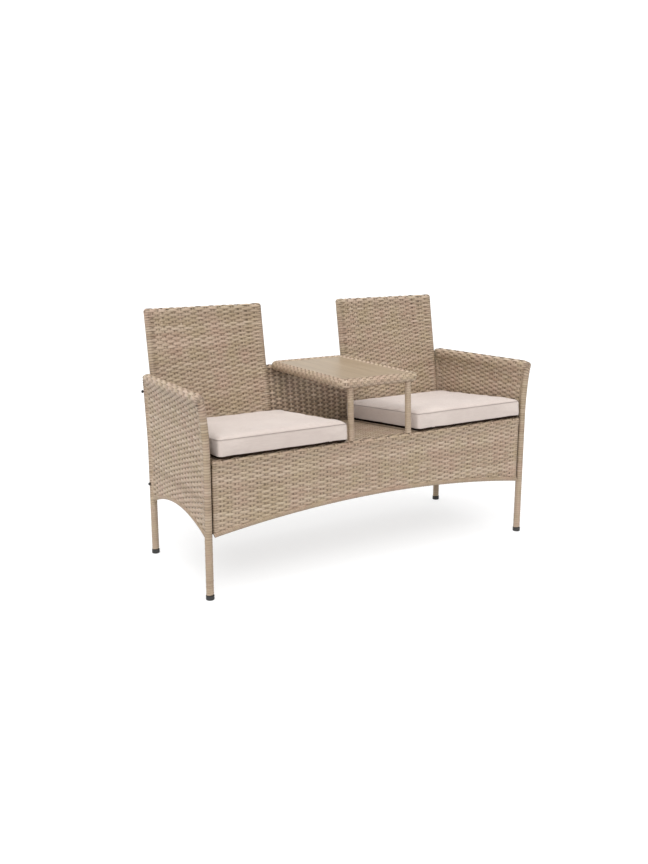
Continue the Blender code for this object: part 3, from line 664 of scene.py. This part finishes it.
@dataclass
class Panel:
    """A woven face. Its middle is at(u, v), its rows run along u and its stakes stand along v.

    ends and radii are the tubes that the rows wrap, levels the first and last v. Rows above
    behind_from wrap those tubes only half round. keep says where there is weave, lift how far the
    face stands off the tubes, rise and lean bend the rows and stakes, and calm is 1 on a rail.
    """

    at: Callable
    ends: tuple
    radii: tuple
    levels: tuple
    facing: int = 1
    keep: Callable = None
    lift: Callable = None
    rise: Callable = no_shift
    lean: Callable = no_shift
    row_pitch: float = ROW_PITCH
    stake_pitch: float = STAKE_PITCH
    centre: float = 0.0
    calm: Callable = None
    tuck: float = 0.030
    # Painted shade: darkens the colour of the whole face, for a face that lies in shadow.
    painted_shade: float = 0.0
    wave: float = ROW_WAVE
    cover: float = ROW_COVER
    behind_from: float = np.inf

    def axes(self, u, v):
        along = unit(self.at(u + TINY, v) - self.at(u - TINY, v))
        up = unit(self.at(u, v + TINY) - self.at(u, v - TINY))
        return self.at(u, v), along, up, unit(np.cross(along, up)) * self.facing

    def kept_runs(self, u, v):
        if self.keep is None:
            return [np.arange(len(u))]
        inside = self.keep(u, v)
        edges = np.flatnonzero(np.diff(inside.astype(int))) + 1
        return [run for run in np.split(np.arange(len(u)), edges) if inside[run[0]] and len(run) > 3]

    def weave_rows(self, strands):
        count = int((self.levels[1] - self.levels[0]) / self.row_pitch)
        left, right = self.ends
        turn = np.linspace(3 * pi / 2, pi / 2 + 0.2, 10)
        tail = np.linspace(self.tuck, 0.004, 7)
        body = spaced(left, right, self.stake_pitch / 5)
        for row in range(count):
            level = self.levels[0] + (row + 0.5) * self.row_pitch
            behind = level > self.behind_from
            left_r, right_r = (r - STRAND_T / 2 * behind for r in self.radii)
            s = np.concatenate([left + tail, left + left_r * np.cos(turn), body,
                                right - right_r * np.cos(turn[::-1]), right - tail[::-1]])
            u = np.clip(s, left, right)
            v = np.clip(level + self.rise(u, level), 2 * TINY, None)
            wobble = ROW_WOBBLE * wavering(u, 18, 34)
            sunk = 0.0 if self.lift is None else self.lift(v)
            dip = np.cos(pi * ((u - self.lean(u, v) - self.centre) / self.stake_pitch + row))
            wave = self.wave * rng.uniform(0.88, 1.1) * dip
            if self.calm is not None:
                wave += self.calm(v) * (RAIL_WAVE * dip + ROW_WAVE - RAIL_WAVE - wave)
            near_left = smooth(1 - (u - left) / (EDGE_REACH * left_r))
            near_right = smooth(1 - (right - u) / (EDGE_REACH * right_r))
            near = np.maximum(near_left, near_right)
            top = np.where(near_left > near_right, left_r, right_r) - sunk
            w = wave * (1 - near) + (top + EDGE_WAVE * (dip - 1)) * near
            uneven = 0.8 + 0.25 * wavering(u, 40, 160)
            # Depth for painted shade: darker where the row dips under a stake, unevenly along it, darker over
            # the whole face by the panel's painted shade, and at its edges where it wraps a tube.
            depth = ((dip * uneven - self.painted_shade) * (1 - near))[:, None] + WRAP_DEPTH[None] * near[:, None]
            sunk = np.broadcast_to(sunk, len(u))
            j, k = len(tail), len(turn)
            hidden = LAYER_GAP / 2 + (left_r - LAYER_GAP / 2) * (1 - smooth(tail / self.tuck))
            w[:j] = -hidden
            w[j:j + k] = left_r * np.sin(turn) - sunk[j:j + k]
            w[-j:] = -hidden[::-1]
            w[-j - k:-j] = right_r * np.sin(turn[::-1]) - sunk[-j - k:-j]
            point, along, up, normal = self.axes(u, v + wobble)
            path = point + along * (s - u)[:, None] + normal * w[:, None]
            spread = 1 + (self.rise(u, level + TINY) - self.rise(u, level - TINY)) / (2 * TINY)
            skip = (j + k // 2) * behind
            for run in self.kept_runs(u, v):
                run = run[(run >= skip) & (run < len(u) - skip)]
                tangent = unit(np.gradient(path[run], axis=0))
                out = np.cross(tangent, up[run]) * self.facing
                width = self.row_pitch * self.cover * spread[run]
                strands.add(path[run], out, width, STRAND_T, depth=depth[run])

    def weave_stakes(self, strands):
        left, right = self.ends[0] + self.radii[0], self.ends[1] - self.radii[1]
        first = int(np.ceil((left - self.centre) / self.stake_pitch))
        last = int(np.floor((right - self.centre) / self.stake_pitch))
        for stake in range(first, last + 1):
            v = spaced(self.levels[0], self.levels[1], self.row_pitch / 2)
            home = self.centre + stake * self.stake_pitch
            u = home + self.lean(np.full(len(v), home), v) + STAKE_WAVE * wavering(v, 15, 40)
            row = (v - self.rise(u, v) - self.levels[0]) / self.row_pitch - 0.5
            w = -STAKE_WAVE * np.cos(pi * (stake + row))
            if self.calm is not None:
                w += (ROW_WAVE - RAIL_WAVE) * self.calm(v)
            point, along, up, normal = self.axes(u, v)
            path = point + normal * w[:, None]
            for run in self.kept_runs(u, v):
                tangent = unit(np.gradient(path[run], axis=0))
                out = np.cross(along[run], tangent) * self.facing
                strands.add(path[run], out, STAKE_W, STAKE_T)

    def weave(self, strands):
        self.weave_rows(strands)
        self.weave_stakes(strands)


class Tube:
    """The surface of a tube along a path: at(s, angle, r) gives places on it and which way is out."""

    def __init__(self, path, start):
        self.path = path
        self.start = np.array(start)
        self.arc = arc_of(path)
        self.length = self.arc[-1]

    def centre(self, s):
        s = np.clip(s, 0.0, self.length)
        return np.stack([np.interp(s, self.arc, self.path[:, i]) for i in range(3)], axis=-1)

    def at(self, s, angle, r):
        axis = unit(self.centre(s + 0.001) - self.centre(s - 0.001))
        side = unit(self.start - axis * (axis @ self.start)[:, None])
        out = side * np.cos(angle)[:, None] + np.cross(axis, side) * np.sin(angle)[:, None]
        return self.centre(s) + out * np.broadcast_to(r, len(s))[:, None], out


def wind(strands, path, radius, start=(1.0, 0.0, 0.0), around=16, core=True):
    """Winds one strand round a tube, as if by hand: its turns lie a little unevenly."""
    tube = Tube(path, start)
    turns = max(1, round(tube.length / WIND_PITCH))
    s = np.linspace(0.0, tube.length, turns * around + 1)
    angle = 2 * pi * s * turns / tube.length
    line, out = tube.at(s, angle, radius - STRAND_T / 2 + 0.00015 * np.sin(angle * 0.37))
    # Depth for painted shade between the turns.
    strands.add(line, out, tube.length / turns * 1.02, STRAND_T, depth=WOUND_DEPTH[None])
    if core:
        strands.core(path, radius - STRAND_T - 0.0008)


def wound(name, node, path, radius, **how):
    """A wound tube that is a piece by itself."""
    strands = Strands()
    wind(strands, path, radius, **how)
    strands.piece(name, node)


def lace(strands, path, radius, rows):
    """Weaves a sleeve round a closed level tube: rows along it, over and under hoops round it."""
    tube = Tube(path, (0.0, 0.0, 1.0))
    hoops = 2 * round(tube.length / RIM_STAKE_PITCH / 2)
    pitch = tube.length / hoops
    base = radius - RIM_WAVE - STRAND_T / 2
    for row in range(rows):
        s = spaced(0.0, tube.length, pitch / 6)
        angle = np.full(len(s), 2 * pi * row / rows)
        dip = np.cos(pi * (s / pitch + row))
        line, out = tube.at(s, angle, base + RIM_WAVE * dip)
        # Depth for painted shade where a row dips under a hoop.
        strands.add(line, out, 2 * pi * base / rows * ROW_COVER, STRAND_T, depth=dip)
    for hoop in range(hoops):
        angle = np.linspace(0.0, 2 * pi, 4 * rows + 1)
        s = np.full(len(angle), (hoop + 0.001) * pitch)
        line, out = tube.at(s, angle, base - RIM_WAVE / 2 * np.cos(pi * (hoop + angle * rows / (2 * pi))))
        strands.add(line, out, RIM_STAKE_PITCH / 3, STAKE_T)
    strands.core(path, base - RIM_WAVE - STRAND_T)


# The woven and wound pieces


def leg_line(side, y, low, high):
    z = spaced(low, high, 0.02)
    return world(side * arm_x(y, z), y + rear_lean(y, z), z)


def build_legs(side):
    for place, y in (("front", -LEG_Y), ("rear", LEG_Y)):
        strands = Strands()
        wind(strands, leg_line(side, y, FOOT_TOP + 0.0006, ARM_EDGE_Z + 0.012), LEG_R, core=False)
        strands.core(leg_line(side, y, FOOT_TOP - 0.006, arm_rail_z(y) - 0.004), LEG_R - 0.0025)
        name = f"{place}_leg_{SIDE_NAMES[side]}"
        strands.piece(f"{name}_wound", name)


def build_arm(side):
    name = SIDE_NAMES[side]
    profile = arm_profile()

    def at(u, v):
        height = profile.height(v)
        share = np.clip((height - FLARE_START_Z) / (ARM_RAIL_FRONT_Z - FLARE_START_Z), 0.0, 1.0)
        flared = -profile.back(v) - (ARM_FRONT_FLARE - arm_flare(u)) * share**2
        z = height - (ARM_RAIL_FRONT_Z - arm_rail_z(u)) * share
        return world(side * (arm_foot_x(u) + flared), u + rear_lean(u, z), z)

    def rise(u, level):
        """Rows bow up with the arch below and straighten towards the rail."""
        return ARM_ROW_BOW * (1 - (u / LEG_Y) ** 2) * (1 - smooth(level / profile.rail_starts))

    def above_arch(u, v):
        return profile.height(v) > arm_arch(u) - 0.002 * (np.abs(u) < LEG_Y - 0.02)

    strands = Strands()
    Panel(at, (-LEG_Y, LEG_Y), (LEG_R - STRAND_T / 2,) * 2, (0.008, profile.length), side, above_arch,
          profile.lift, rise, row_pitch=ARM_ROW_PITCH, stake_pitch=ARM_STAKE_PITCH, calm=profile.on_rail,
          wave=ARM_WAVE, cover=ARM_COVER, behind_from=profile.rail_left + 0.01).weave(strands)
    y = spaced(-LEG_Y, LEG_Y, 0.02)
    z = arm_rail_z(y)
    strands.core(world(side * arm_x(y, z), y + rear_lean(y, z), z), ARM_RAIL_R - 2 * WOVEN_DEPTH)
    strands.piece(f"arm_weave_{name}", f"arm_upper_panel_{name}", f"arm_lower_panel_{name}",
                  f"arm_mid_bar_{name}", f"arm_rail_{name}")

    y = spaced(-LEG_Y + 0.010, LEG_Y - 0.010, 0.006)
    z = arm_arch(y)
    wound(f"arm_arch_wound_{name}", f"arm_arch_rail_{name}", world(side * arm_x(y, z), y, z),
          EDGE_R + 0.0008, start=(0, 0, 1), around=14)


def build_apron():
    """The apron with its end bars, the arched tube below it, and a near-black strip beside each leg, as
    painted shade in the gap.
    """
    profile = apron_profile()
    zero = profile.line[0, 1]
    end = SEAT_HALF_W - EDGE_R - 0.0015
    strands = Strands()
    Panel(profile.at, (-end, end), (EDGE_R, EDGE_R), (0.010, profile.length), 1,
          lambda u, v: v + zero > apron_arch(u) - 0.002,
          lambda v: np.maximum(END_BAR_BEHIND, profile.lift(v))).weave(strands)
    strands.core(world(np.array([-end, end]), -LEG_Y, SEAT_FRONT_Z), RAIL_R - 2 * WOVEN_DEPTH)
    bar_z = np.array([APRON_EDGE_Z + 0.01, SEAT_FRONT_Z - 0.01])
    strip_z = np.array([APRON_EDGE_Z + 0.01, SEAT_FRONT_Z])
    for side in SIDE_NAMES:
        strands.core(world(side * end, APRON_Y + END_BAR_BEHIND, bar_z), EDGE_R - 0.002)
        # A near-black tube in the gap beside the leg: painted shade.
        strip = world(side * (end + STRIP_BESIDE), -LEG_Y + STRIP_BEHIND, strip_z)
        strands.core(strip, STRIP_R, sides=10, slot=2)
    strands.piece("apron_weave", "apron_panel", "seat_front_rail", "apron_end_bar_left",
                  "apron_end_bar_right")
    x = spaced(-SEAT_HALF_W + 0.002, SEAT_HALF_W - 0.002, 0.01)
    wound("apron_arch_wound", "apron_arch_rail", world(x, APRON_Y, apron_arch(x)),
          EDGE_R + 0.0004, start=(0, 0, 1), around=14)


def back_shifts(middle, half, top):
    """The rows of a back climb to the right and its stakes lean to the left, except beside its edges."""
    slope, fade = tan(BACK_ROW_CLIMB), 0.11

    def rise(u, level):
        inner = smooth((level - 0.02) / fade) * smooth((top - 0.03 - level) / fade)
        return slope * np.clip(u - middle, -half, half) * inner

    def lean(u, v):
        inner = smooth((half - np.abs(u - middle)) / 0.09)
        return -slope * (v - top / 2) * inner

    return rise, lean


def build_backs():
    profile = back_profile(BACK_RAIL_Z)
    low = RAIL_R + 0.001
    for side, name in SIDE_NAMES.items():
        ends = sorted((side * OUTER_STILE_X, side * INNER_STILE_X))
        middle, half = sum(ends) / 2, (ends[1] - ends[0]) / 2
        rise, lean = back_shifts(middle, half, profile.rail_starts)
        strands = Strands()
        Panel(profile.at, ends, (RAIL_R - 0.0006,) * 2, (low, profile.length), 1, None, profile.lift, rise,
              lean, BACK_ROW_PITCH, BACK_STAKE_PITCH, middle, wave=BACK_WAVE).weave(strands)
        strands.core(world(np.array(ends), back_y(BACK_RAIL_Z), BACK_RAIL_Z), RAIL_R - 2 * WOVEN_DEPTH)
        strands.piece(f"back_weave_{name}", f"back_panel_{name}", f"back_top_rail_{name}")
        for place, x in (("outer", OUTER_STILE_X), ("inner", INNER_STILE_X)):
            strands = Strands()
            z = spaced(BACK_FOOT_Z - BACK_STUB, BACK_RAIL_Z, 0.012)
            strands.core(world(side * x, back_y(z), z), RAIL_R - 0.0024)
            z = spaced(BACK_FOOT_Z - BACK_STUB, BACK_FOOT_Z + low, 0.004)
            wind(strands, world(side * x, back_y(z), z), RAIL_R, core=False)
            strands.piece(f"back_{place}_stile_{name}_wound", f"back_{place}_stile_{name}")
    profile = back_profile(MIDDLE_RAIL_Z)
    strands = Strands()
    ends = (-INNER_STILE_X, INNER_STILE_X)
    Panel(profile.at, ends, (RAIL_R + 0.0006,) * 2, (low, profile.length), 1, None, profile.lift,
          row_pitch=BACK_ROW_PITCH, stake_pitch=BACK_STAKE_PITCH, painted_shade=MIDDLE_PAINTED_SHADE).weave(strands)
    strands.core(world(np.array(ends), back_y(MIDDLE_RAIL_Z), MIDDLE_RAIL_Z), RAIL_R - 2 * WOVEN_DEPTH)
    strands.piece("back_weave_middle", "back_middle_panel", "back_middle_rail")
    x = spaced(-OUTER_STILE_X, OUTER_STILE_X, 0.02)
    wound("back_lower_rail_wound", "back_lower_rail", world(x, BACK_FOOT_Y, BACK_FOOT_Z), RAIL_R,
          start=(0, 0, 1))


def build_decks():
    def deck_at(u, v):
        y = -LEG_Y + v
        return world(u, y, seat_z(y) + DECK_ABOVE_AXIS)

    levels = (DECK_TO_FRONT, SEAT_REAR_Y + LEG_Y - DECK_TO_REAR)
    for name, left, right in (("seat_deck_left", -OUTER_BAR_X, -INNER_BAR_X),
                              ("shelf_deck", -INNER_BAR_X, INNER_BAR_X),
                              ("seat_deck_right", INNER_BAR_X, OUTER_BAR_X)):
        strands = Strands()
        Panel(deck_at, (left + DECK_TO_BAR, right - DECK_TO_BAR), (STRAND_T, STRAND_T), levels,
              tuck=0.006).weave(strands)
        strands.piece(f"{name}_weave", name)


def loop_line(half_w, front, rear, radius, z):
    """A rectangle with round corners, anticlockwise from the middle of its right side and back to it."""
    corners = ((half_w, rear, 0), (-half_w, rear, 90), (-half_w, front, 180), (half_w, front, 270))
    points = []
    for x, y, start in corners:
        turn = np.radians(np.linspace(start, start + 90, 12))
        centre = (x - radius * np.sign(x), y - radius * (1 if y == rear else -1))
        points.append(np.stack([centre[0] + radius * np.cos(turn), centre[1] + radius * np.sin(turn)], -1))
    points = np.concatenate(points)
    seam = (points[-1:] + points[:1]) / 2
    points = np.concatenate([seam, points, seam])
    return world(points[:, 0], points[:, 1], z)


def build_table():
    strands = Strands()
    lace(strands, loop_line(RIM_HALF_W, RIM_FRONT_Y, RIM_REAR_Y, RIM_BEND_R, RIM_Z), RIM_R, RIM_ROWS)
    strands.piece("table_rim_woven", "table_rim")
    t = np.linspace(0.0, 1.0, 12)
    foot_z, head_z = SEAT_FRONT_Z + 0.008, RIM_Z - 0.010
    for side, name in SIDE_NAMES.items():
        line = world(side * POST_X, -LEG_Y + t * (RIM_FRONT_Y + LEG_Y), foot_z + t * (head_z - foot_z))
        wound(f"table_post_wound_{name}", f"table_post_{name}", line, POST_R, start=(0, -1, 0))
    build_board()


def ring_loft(name, rings):
    """A closed solid through rings of points, each as long as the next."""
    n, last = len(rings[0]), len(rings) - 1
    pairs = [(i, (i + 1) % n) for i in range(n)]
    faces = [(k * n + i, k * n + j, k * n + n + j, k * n + n + i) for k in range(last) for i, j in pairs]
    faces += [range(n)[::-1], range(last * n, last * n + n)]
    mesh = bpy.data.meshes.new(name)
    mesh.from_pydata([p for ring in rings for p in ring], [], faces)
    for polygon in mesh.polygons:
        polygon.use_smooth = len(polygon.vertices) < 8
    return added(name, mesh)


def build_board():
    """The board with a chamfer below and a rounded edge above."""
    low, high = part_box("table_board")
    half_w = (high.x - low.x) / 2
    front, rear = low.y - MID_Y, high.y - MID_Y
    edge = BOARD_EDGE_R
    rings = []
    for inset, z in ((edge, low.z), (0.0, low.z + edge), (0.0, high.z - edge),
                     (edge * 0.13, high.z - edge * 0.5), (edge * 0.5, high.z - edge * 0.13), (edge, high.z)):
        line = loop_line(half_w - inset, front + inset, rear - inset, BOARD_CORNER_R - inset, z)
        rings.append([tuple(p) for p in line[1:-1]])
    board = ring_loft("table_board_grained", rings)
    board.data.materials.append(board_grain)
    dress(board, "bench", "table_wood", "table_board")


def build_feet():
    """Turned caps: a rounded sole, a slightly hollow side and a lip round the leg."""
    for side, name in SIDE_NAMES.items():
        for place in ("front", "rear"):
            node = f"{place}_foot_{name}"
            low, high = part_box(node)
            middle = (low + high) / 2
            radius = (high.x - low.x) / 2
            height = high.z - low.z
            outline = ((0.62, 0.0), (0.86, 0.0), (0.95, 0.03), (0.99, 0.10), (1.0, 0.22), (0.985, 0.5),
                       (0.985, 0.72), (1.0, 0.84), (0.995, 0.95), (0.965, 1.0), (0.90, 1.0))
            rings = [[(middle.x + radius * r * cos(a), middle.y + radius * r * sin(a), low.z + height * h)
                      for a in np.linspace(0, 2 * pi, 36, endpoint=False)] for r, h in outline]
            foot = ring_loft(f"{node}_cap", rings)
            foot.data.materials.append(rubber)
            dress(foot, "bench", "foot_rubber", node)


def build_bolts():
    """Button-head bolts with a shallow socket, each along its own node from the head to the tip."""
    for side, name in SIDE_NAMES.items():
        for node, way in ((f"arm_bolt_top_{name}", side), (f"arm_bolt_low_{name}", side),
                          (f"seat_bolt_front_{name}", -side), (f"seat_bolt_rear_{name}", -side)):
            low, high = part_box(node)
            x, y, z = (low + high) / 2
            long, radius = high.x - low.x, (high.z - low.z) / 2
            in_weave = "seat" in node
            tip = long - BOLT_TIP_CUT * in_weave
            y += 0.0 if in_weave else float(rear_lean(LEG_Y, z))
            head_x = x + way * long / 2
            outline = ((0.30, 0.0024), (0.32, 0.0), (0.60, 0.0), (0.84, 0.0009), (0.98, 0.0028),
                       (1.0, 0.0038), (1.0, 0.0050), (BOLT_SHANK, 0.0050), (BOLT_SHANK, tip - 0.0008),
                       (BOLT_SHANK * 0.8, tip))
            rings = [[(head_x - way * along, y + radius * r * cos(a), z + radius * r * sin(a) * way)
                      for a in np.linspace(0, 2 * pi, 24, endpoint=False)] for r, along in outline]
            bolt = ring_loft(f"{node}_turned", rings)
            bolt.data.materials.append(bolt_black)
            dress(bolt, "bench", "bolt_black", node)


# Cushions


def rounded_box(half_w, half_l, half_t, corner, edge):
    """A box with round upright corners and rounded long edges, about its middle."""
    rings = []
    turn = np.radians(np.linspace(0.0, 90.0, 5))
    levels = [(edge * (1 - np.sin(a)), -half_t + edge * (1 - np.cos(a))) for a in turn]
    levels += [(edge * (1 - np.cos(a)), half_t - edge * (1 - np.sin(a))) for a in turn]
    for inset, z in levels:
        line = loop_line(half_w - inset, -half_l + inset, half_l - inset, corner - inset * 0.5, z)[1:-1]
        rings.append([(x, y - MID_Y, z) for x, y, _ in line])
    return rings


def swollen(obj, cap):
    """Blows the closed cloth up a little: each point moves by cap at most."""
    before = np.array([v.co for v in obj.data.vertices])
    cloth = obj.modifiers.new("Cloth", "CLOTH")
    for key, value in (("use_pressure", True), ("uniform_pressure_force", 4.0), ("quality", 5), ("mass", 0.3),
                       ("tension_stiffness", 18.0), ("compression_stiffness", 18.0),
                       ("bending_stiffness", 2.0)):
        setattr(cloth.settings, key, value)
    cloth.settings.effector_weights.gravity = 0.0
    cloth.point_cache.frame_start = 1
    cloth.point_cache.frame_end = CLOTH_FRAMES
    scene = bpy.context.scene
    for step in range(1, CLOTH_FRAMES + 1):
        scene.frame_set(step)
    shape = obj.evaluated_get(bpy.context.evaluated_depsgraph_get())
    after = np.array([v.co for v in shape.data.vertices])
    obj.modifiers.remove(cloth)
    scene.frame_set(1)
    move = after - before
    far = np.linalg.norm(move, axis=1, keepdims=True)
    move *= cap * np.tanh(far / cap) / np.maximum(far, 1e-9)
    return before + move


def modified(obj):
    """A copy of an object's mesh, as its modifiers make it."""
    shape = obj.evaluated_get(bpy.context.evaluated_depsgraph_get())
    return bpy.data.meshes.new_from_object(shape)


def soft_shape():
    """A plain cushion about its own middle, top up, swollen by the cloth simulation."""
    box = rounded_box(CUSHION_HALF_W - SWELL, CUSHION_HALF_L - SWELL, CUSHION_T / 2 - SWELL, CORNER_R, 0.008)
    base = ring_loft("cushion_base", box)
    remesh = base.modifiers.new("Remesh", "REMESH")
    remesh.mode = "VOXEL"
    remesh.voxel_size = VOXEL
    mesh = modified(base)
    base.modifiers.clear()
    base.data = mesh
    points = swollen(base, 0.007)
    mesh.vertices.foreach_set("co", points.astype(np.float32).reshape(-1))
    fine = base.modifiers.new("Subdivision", "SUBSURF")
    fine.levels = fine.render_levels = 1
    mesh = modified(base)
    bpy.data.objects.remove(base)
    return mesh


def seam_line(z):
    half_w, half_l = CUSHION_HALF_W - SEAM_INSET, CUSHION_HALF_L - SEAM_INSET
    return loop_line(half_w, -half_l, half_l, CORNER_R, z)[1:-1] - np.array([0.0, MID_Y, 0.0])


def sewn(points, seed):
    """Crowns the top, draws the cloth in along its two sewn lines and adds soft folds and puckers."""
    points = points.copy()
    half_t = CUSHION_T / 2
    x, y, z = points.T
    crown = np.clip(1 - (x / CUSHION_HALF_W) ** 2, 0, 1) * np.clip(1 - (y / CUSHION_HALF_L) ** 2, 0, 1)
    top = z > 0
    points[:, 2] += np.where(top, CROWN * np.sqrt(crown), 0.0)
    outward = np.stack([x / CUSHION_HALF_W, y / CUSHION_HALF_L], axis=-1)
    edge = np.max(np.abs(outward), axis=1)
    for level in (half_t - SEAM_DROP, -half_t + SEAM_DROP):
        near = np.exp(-((z - level) / 0.0022) ** 2) * smooth((edge - 0.9) / 0.06)
        points[:, :2] -= unit(outward) * (SEAM_DRAW * near)[:, None]
    turn = np.random.default_rng(seed)
    fold = np.zeros(len(points))
    for _ in range(14):
        way = turn.uniform(0, 2 * pi)
        reach = turn.uniform(0.05, 0.16)
        phase = turn.uniform(0, 6.28)
        fold += np.sin((x * cos(way) + y * sin(way)) * 2 * pi / reach + phase)
    points[:, 2] += np.where(top, 0.00022 * fold, 0.0)
    angle = np.arctan2(y, x)
    pucker = np.sin(angle * 46 + 3 * np.sin(angle * 5)) * np.exp(-((edge - 0.955) / 0.03) ** 2)
    points[:, 2] += np.where(top, 0.00035 * pucker, 0.0)
    points[:, 2] = np.maximum(points[:, 2], -half_t)
    return points


def build_cushions():
    source = soft_shape()
    count = len(source.vertices)
    points = np.zeros(count * 3, np.float32)
    source.vertices.foreach_get("co", points)
    points = points.reshape(-1, 3).astype(float)
    # Faces below under_z take the near-black cloth: painted shadow under the cushion's lower edge.
    under_z = -CUSHION_T / 2 + UNDER_RISE
    for side, name in SIDE_NAMES.items():
        middle = (side * CUSHION_X + CUSHION_SHIFT, CUSHION_Y + MID_Y, cushion_z())
        place = Matrix.Translation(middle) @ Matrix.Rotation(-SEAT_SLOPE, 4, "X")
        mesh = source.copy()
        mesh.name = f"cushion_{name}"
        shaped = sewn(points * np.array([side, 1.0, 1.0]), 20 + side)
        mesh.vertices.foreach_set("co", shaped.astype(np.float32).reshape(-1))
        if side < 0:
            mesh.flip_normals()
        mesh.materials.clear()
        mesh.materials.append(cushion_cloth)
        mesh.materials.append(under_shadow_cloth)
        for polygon in mesh.polygons:
            polygon.use_smooth = True
            polygon.material_index = int(np.mean([shaped[i][2] for i in polygon.vertices]) < under_z)
        mesh.transform(place)
        cushion = added(f"cushion_padded_{name}", mesh)
        dress(cushion, f"cushion_{name}", "cushion_fabric", f"seat_cushion_{name}")
        build_seam(name, place, shaped)
    bpy.data.meshes.remove(source)


def build_seam(name, place, shaped):
    """The thread along the upper sewn line, laid on the cloth. Its darker tone is painted shade of the seam's
    groove.
    """
    seam = bpy.data.curves.new(f"cushion_seam_{name}", "CURVE")
    seam.dimensions = "3D"
    seam.bevel_depth = SEAM_R
    seam.bevel_resolution = 2
    on_cloth = cloth_finder(shaped)
    spline = seam.splines.new("POLY")
    found = [on_cloth(p) for p in dense(seam_line(CUSHION_T / 2 - SEAM_DROP), 0.004)]
    spline.points.add(len(found) - 1)
    spline.use_cyclic_u = True
    for point, co in zip(spline.points, found):
        point.co = (*(place @ Vector(co)), 1.0)
    seam.materials.append(seam_groove_shade_cloth)
    dress(added(f"cushion_seam_{name}", seam), f"cushion_{name}", "cushion_fabric")


def cushion_z():
    return seat_z(CUSHION_Y) + CUSHION_ABOVE_AXIS + CUSHION_T / 2 / cos(SEAT_SLOPE)


def dense(line, step):
    """A closed line with its points a step apart."""
    closed = np.concatenate([line, line[:1]])
    arc = arc_of(closed)
    s = np.arange(0.0, arc[-1] - step / 2, step)
    return np.stack([np.interp(s, arc, closed[:, i]) for i in range(3)], axis=-1)


def cloth_finder(points):
    """Finds, for a place on the sewn line, the middle of the cloth's points around it, at its height."""
    tree = KDTree(len(points))
    for i, p in enumerate(points):
        tree.insert(p, i)
    tree.balance()

    def nearest(p):
        found = tree.find_n(p, 6)
        near = np.array([points[i] for _, i, _ in found])
        spot = near.mean(axis=0)
        spot[2] = p[2]
        return spot

    return nearest


# Nodes that keep their CAD shape


def finish_nodes():
    for name, obj in frame["nodes"].items():
        if not obj.hide_render:
            obj.data.materials.clear()
            obj.data.materials.append(zinc if "screw" in name else frame_steel)


# Stage


def build_floor():
    bpy.ops.mesh.primitive_plane_add(size=40.0)
    floor = bpy.context.object
    floor.name = "floor"
    mat, _, shader = new_material("floor_white", Roughness=0.9, Emission_Strength=0.66)
    shader.inputs["Base Color"].default_value = (*grey(0.33), 1.0)
    shader.inputs["Emission Color"].default_value = (*grey(1.0), 1.0)
    floor.data.materials.append(mat)


def build_studio():
    """White all round for the camera; as light, bright overhead, with a bright horizon behind the bench."""
    scene = bpy.context.scene
    scene.view_settings.view_transform = "Standard"
    scene.world = bpy.data.worlds.new("studio")
    scene.world.use_nodes = True
    tree = scene.world.node_tree
    way = node_of(tree, "ShaderNodeTexCoord").outputs["Generated"]
    aim = node_of(tree, "ShaderNodeSeparateXYZ", ((0, way),)).outputs
    horizon = ramp(tree, aim[2], ((0.24, grey(BACKDROP)), (0.32, grey(0.0))))
    upper = ramp(tree, aim[2], ((0.24, grey(0.0)), (0.32, grey(0.62)), (0.70, grey(0.70)), (1.0, grey(2.10))))
    before = node_of(tree, "ShaderNodeMapRange",
                     ((0, aim[1]), (1, -0.8), (2, 0.0), (3, 0.15), (4, 1.0))).outputs[0]
    background = tree.nodes["Background"]
    background.inputs[0].default_value = (*grey(1.0), 1.0)
    seen = node_of(tree, "ShaderNodeLightPath").outputs["Is Camera Ray"]
    lit = math(tree, "ADD", times(tree, horizon, before), upper)
    tree.links.new(math(tree, "MAXIMUM", lit, times(tree, seen, BACKDROP)), background.inputs[1])


def build_suns():
    for name, energy, angle, turn in (("soft_sun", 1.30, 50.0, (26.0, -20.0, 0.0)),
                                      ("front_fill", 1.00, 30.0, (50.0, 0.0, -30.0))):
        data = bpy.data.lights.new(name, "SUN")
        data.energy = energy
        data.angle = radians(angle)
        added(name, data).rotation_euler = [radians(a) for a in turn]


def build_bay_light():
    """A weak panel under the table's board, which brightens the shelf and the cushions' inner sides."""
    low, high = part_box("table_board")
    data = bpy.data.lights.new("bay_fill", "AREA")
    data.shape = "RECTANGLE"
    data.size, data.size_y = 0.22, 0.36
    data.energy = 0.42
    lamp = added("bay_fill", data)
    lamp.location = (0.0, (low.y + high.y) / 2, low.z - 0.020)
    lamp.visible_camera = False


def build_camera():
    data = bpy.data.cameras.new("camera")
    data.lens = CAMERA_LENS
    data.sensor_width = 36.0
    camera = added("camera", data)
    camera.location = CAMERA_PLACE
    camera.rotation_euler = (radians(90 - CAMERA_DOWN), 0.0, radians(-CAMERA_RIGHT))
    bpy.context.scene.camera = camera


build_camera()
build_floor()
build_studio()
build_suns()
build_bay_light()
for side in SIDE_NAMES:
    build_legs(side)
    build_arm(side)
build_apron()
build_backs()
build_decks()
build_table()
build_feet()
build_bolts()
build_cushions()
finish_nodes()
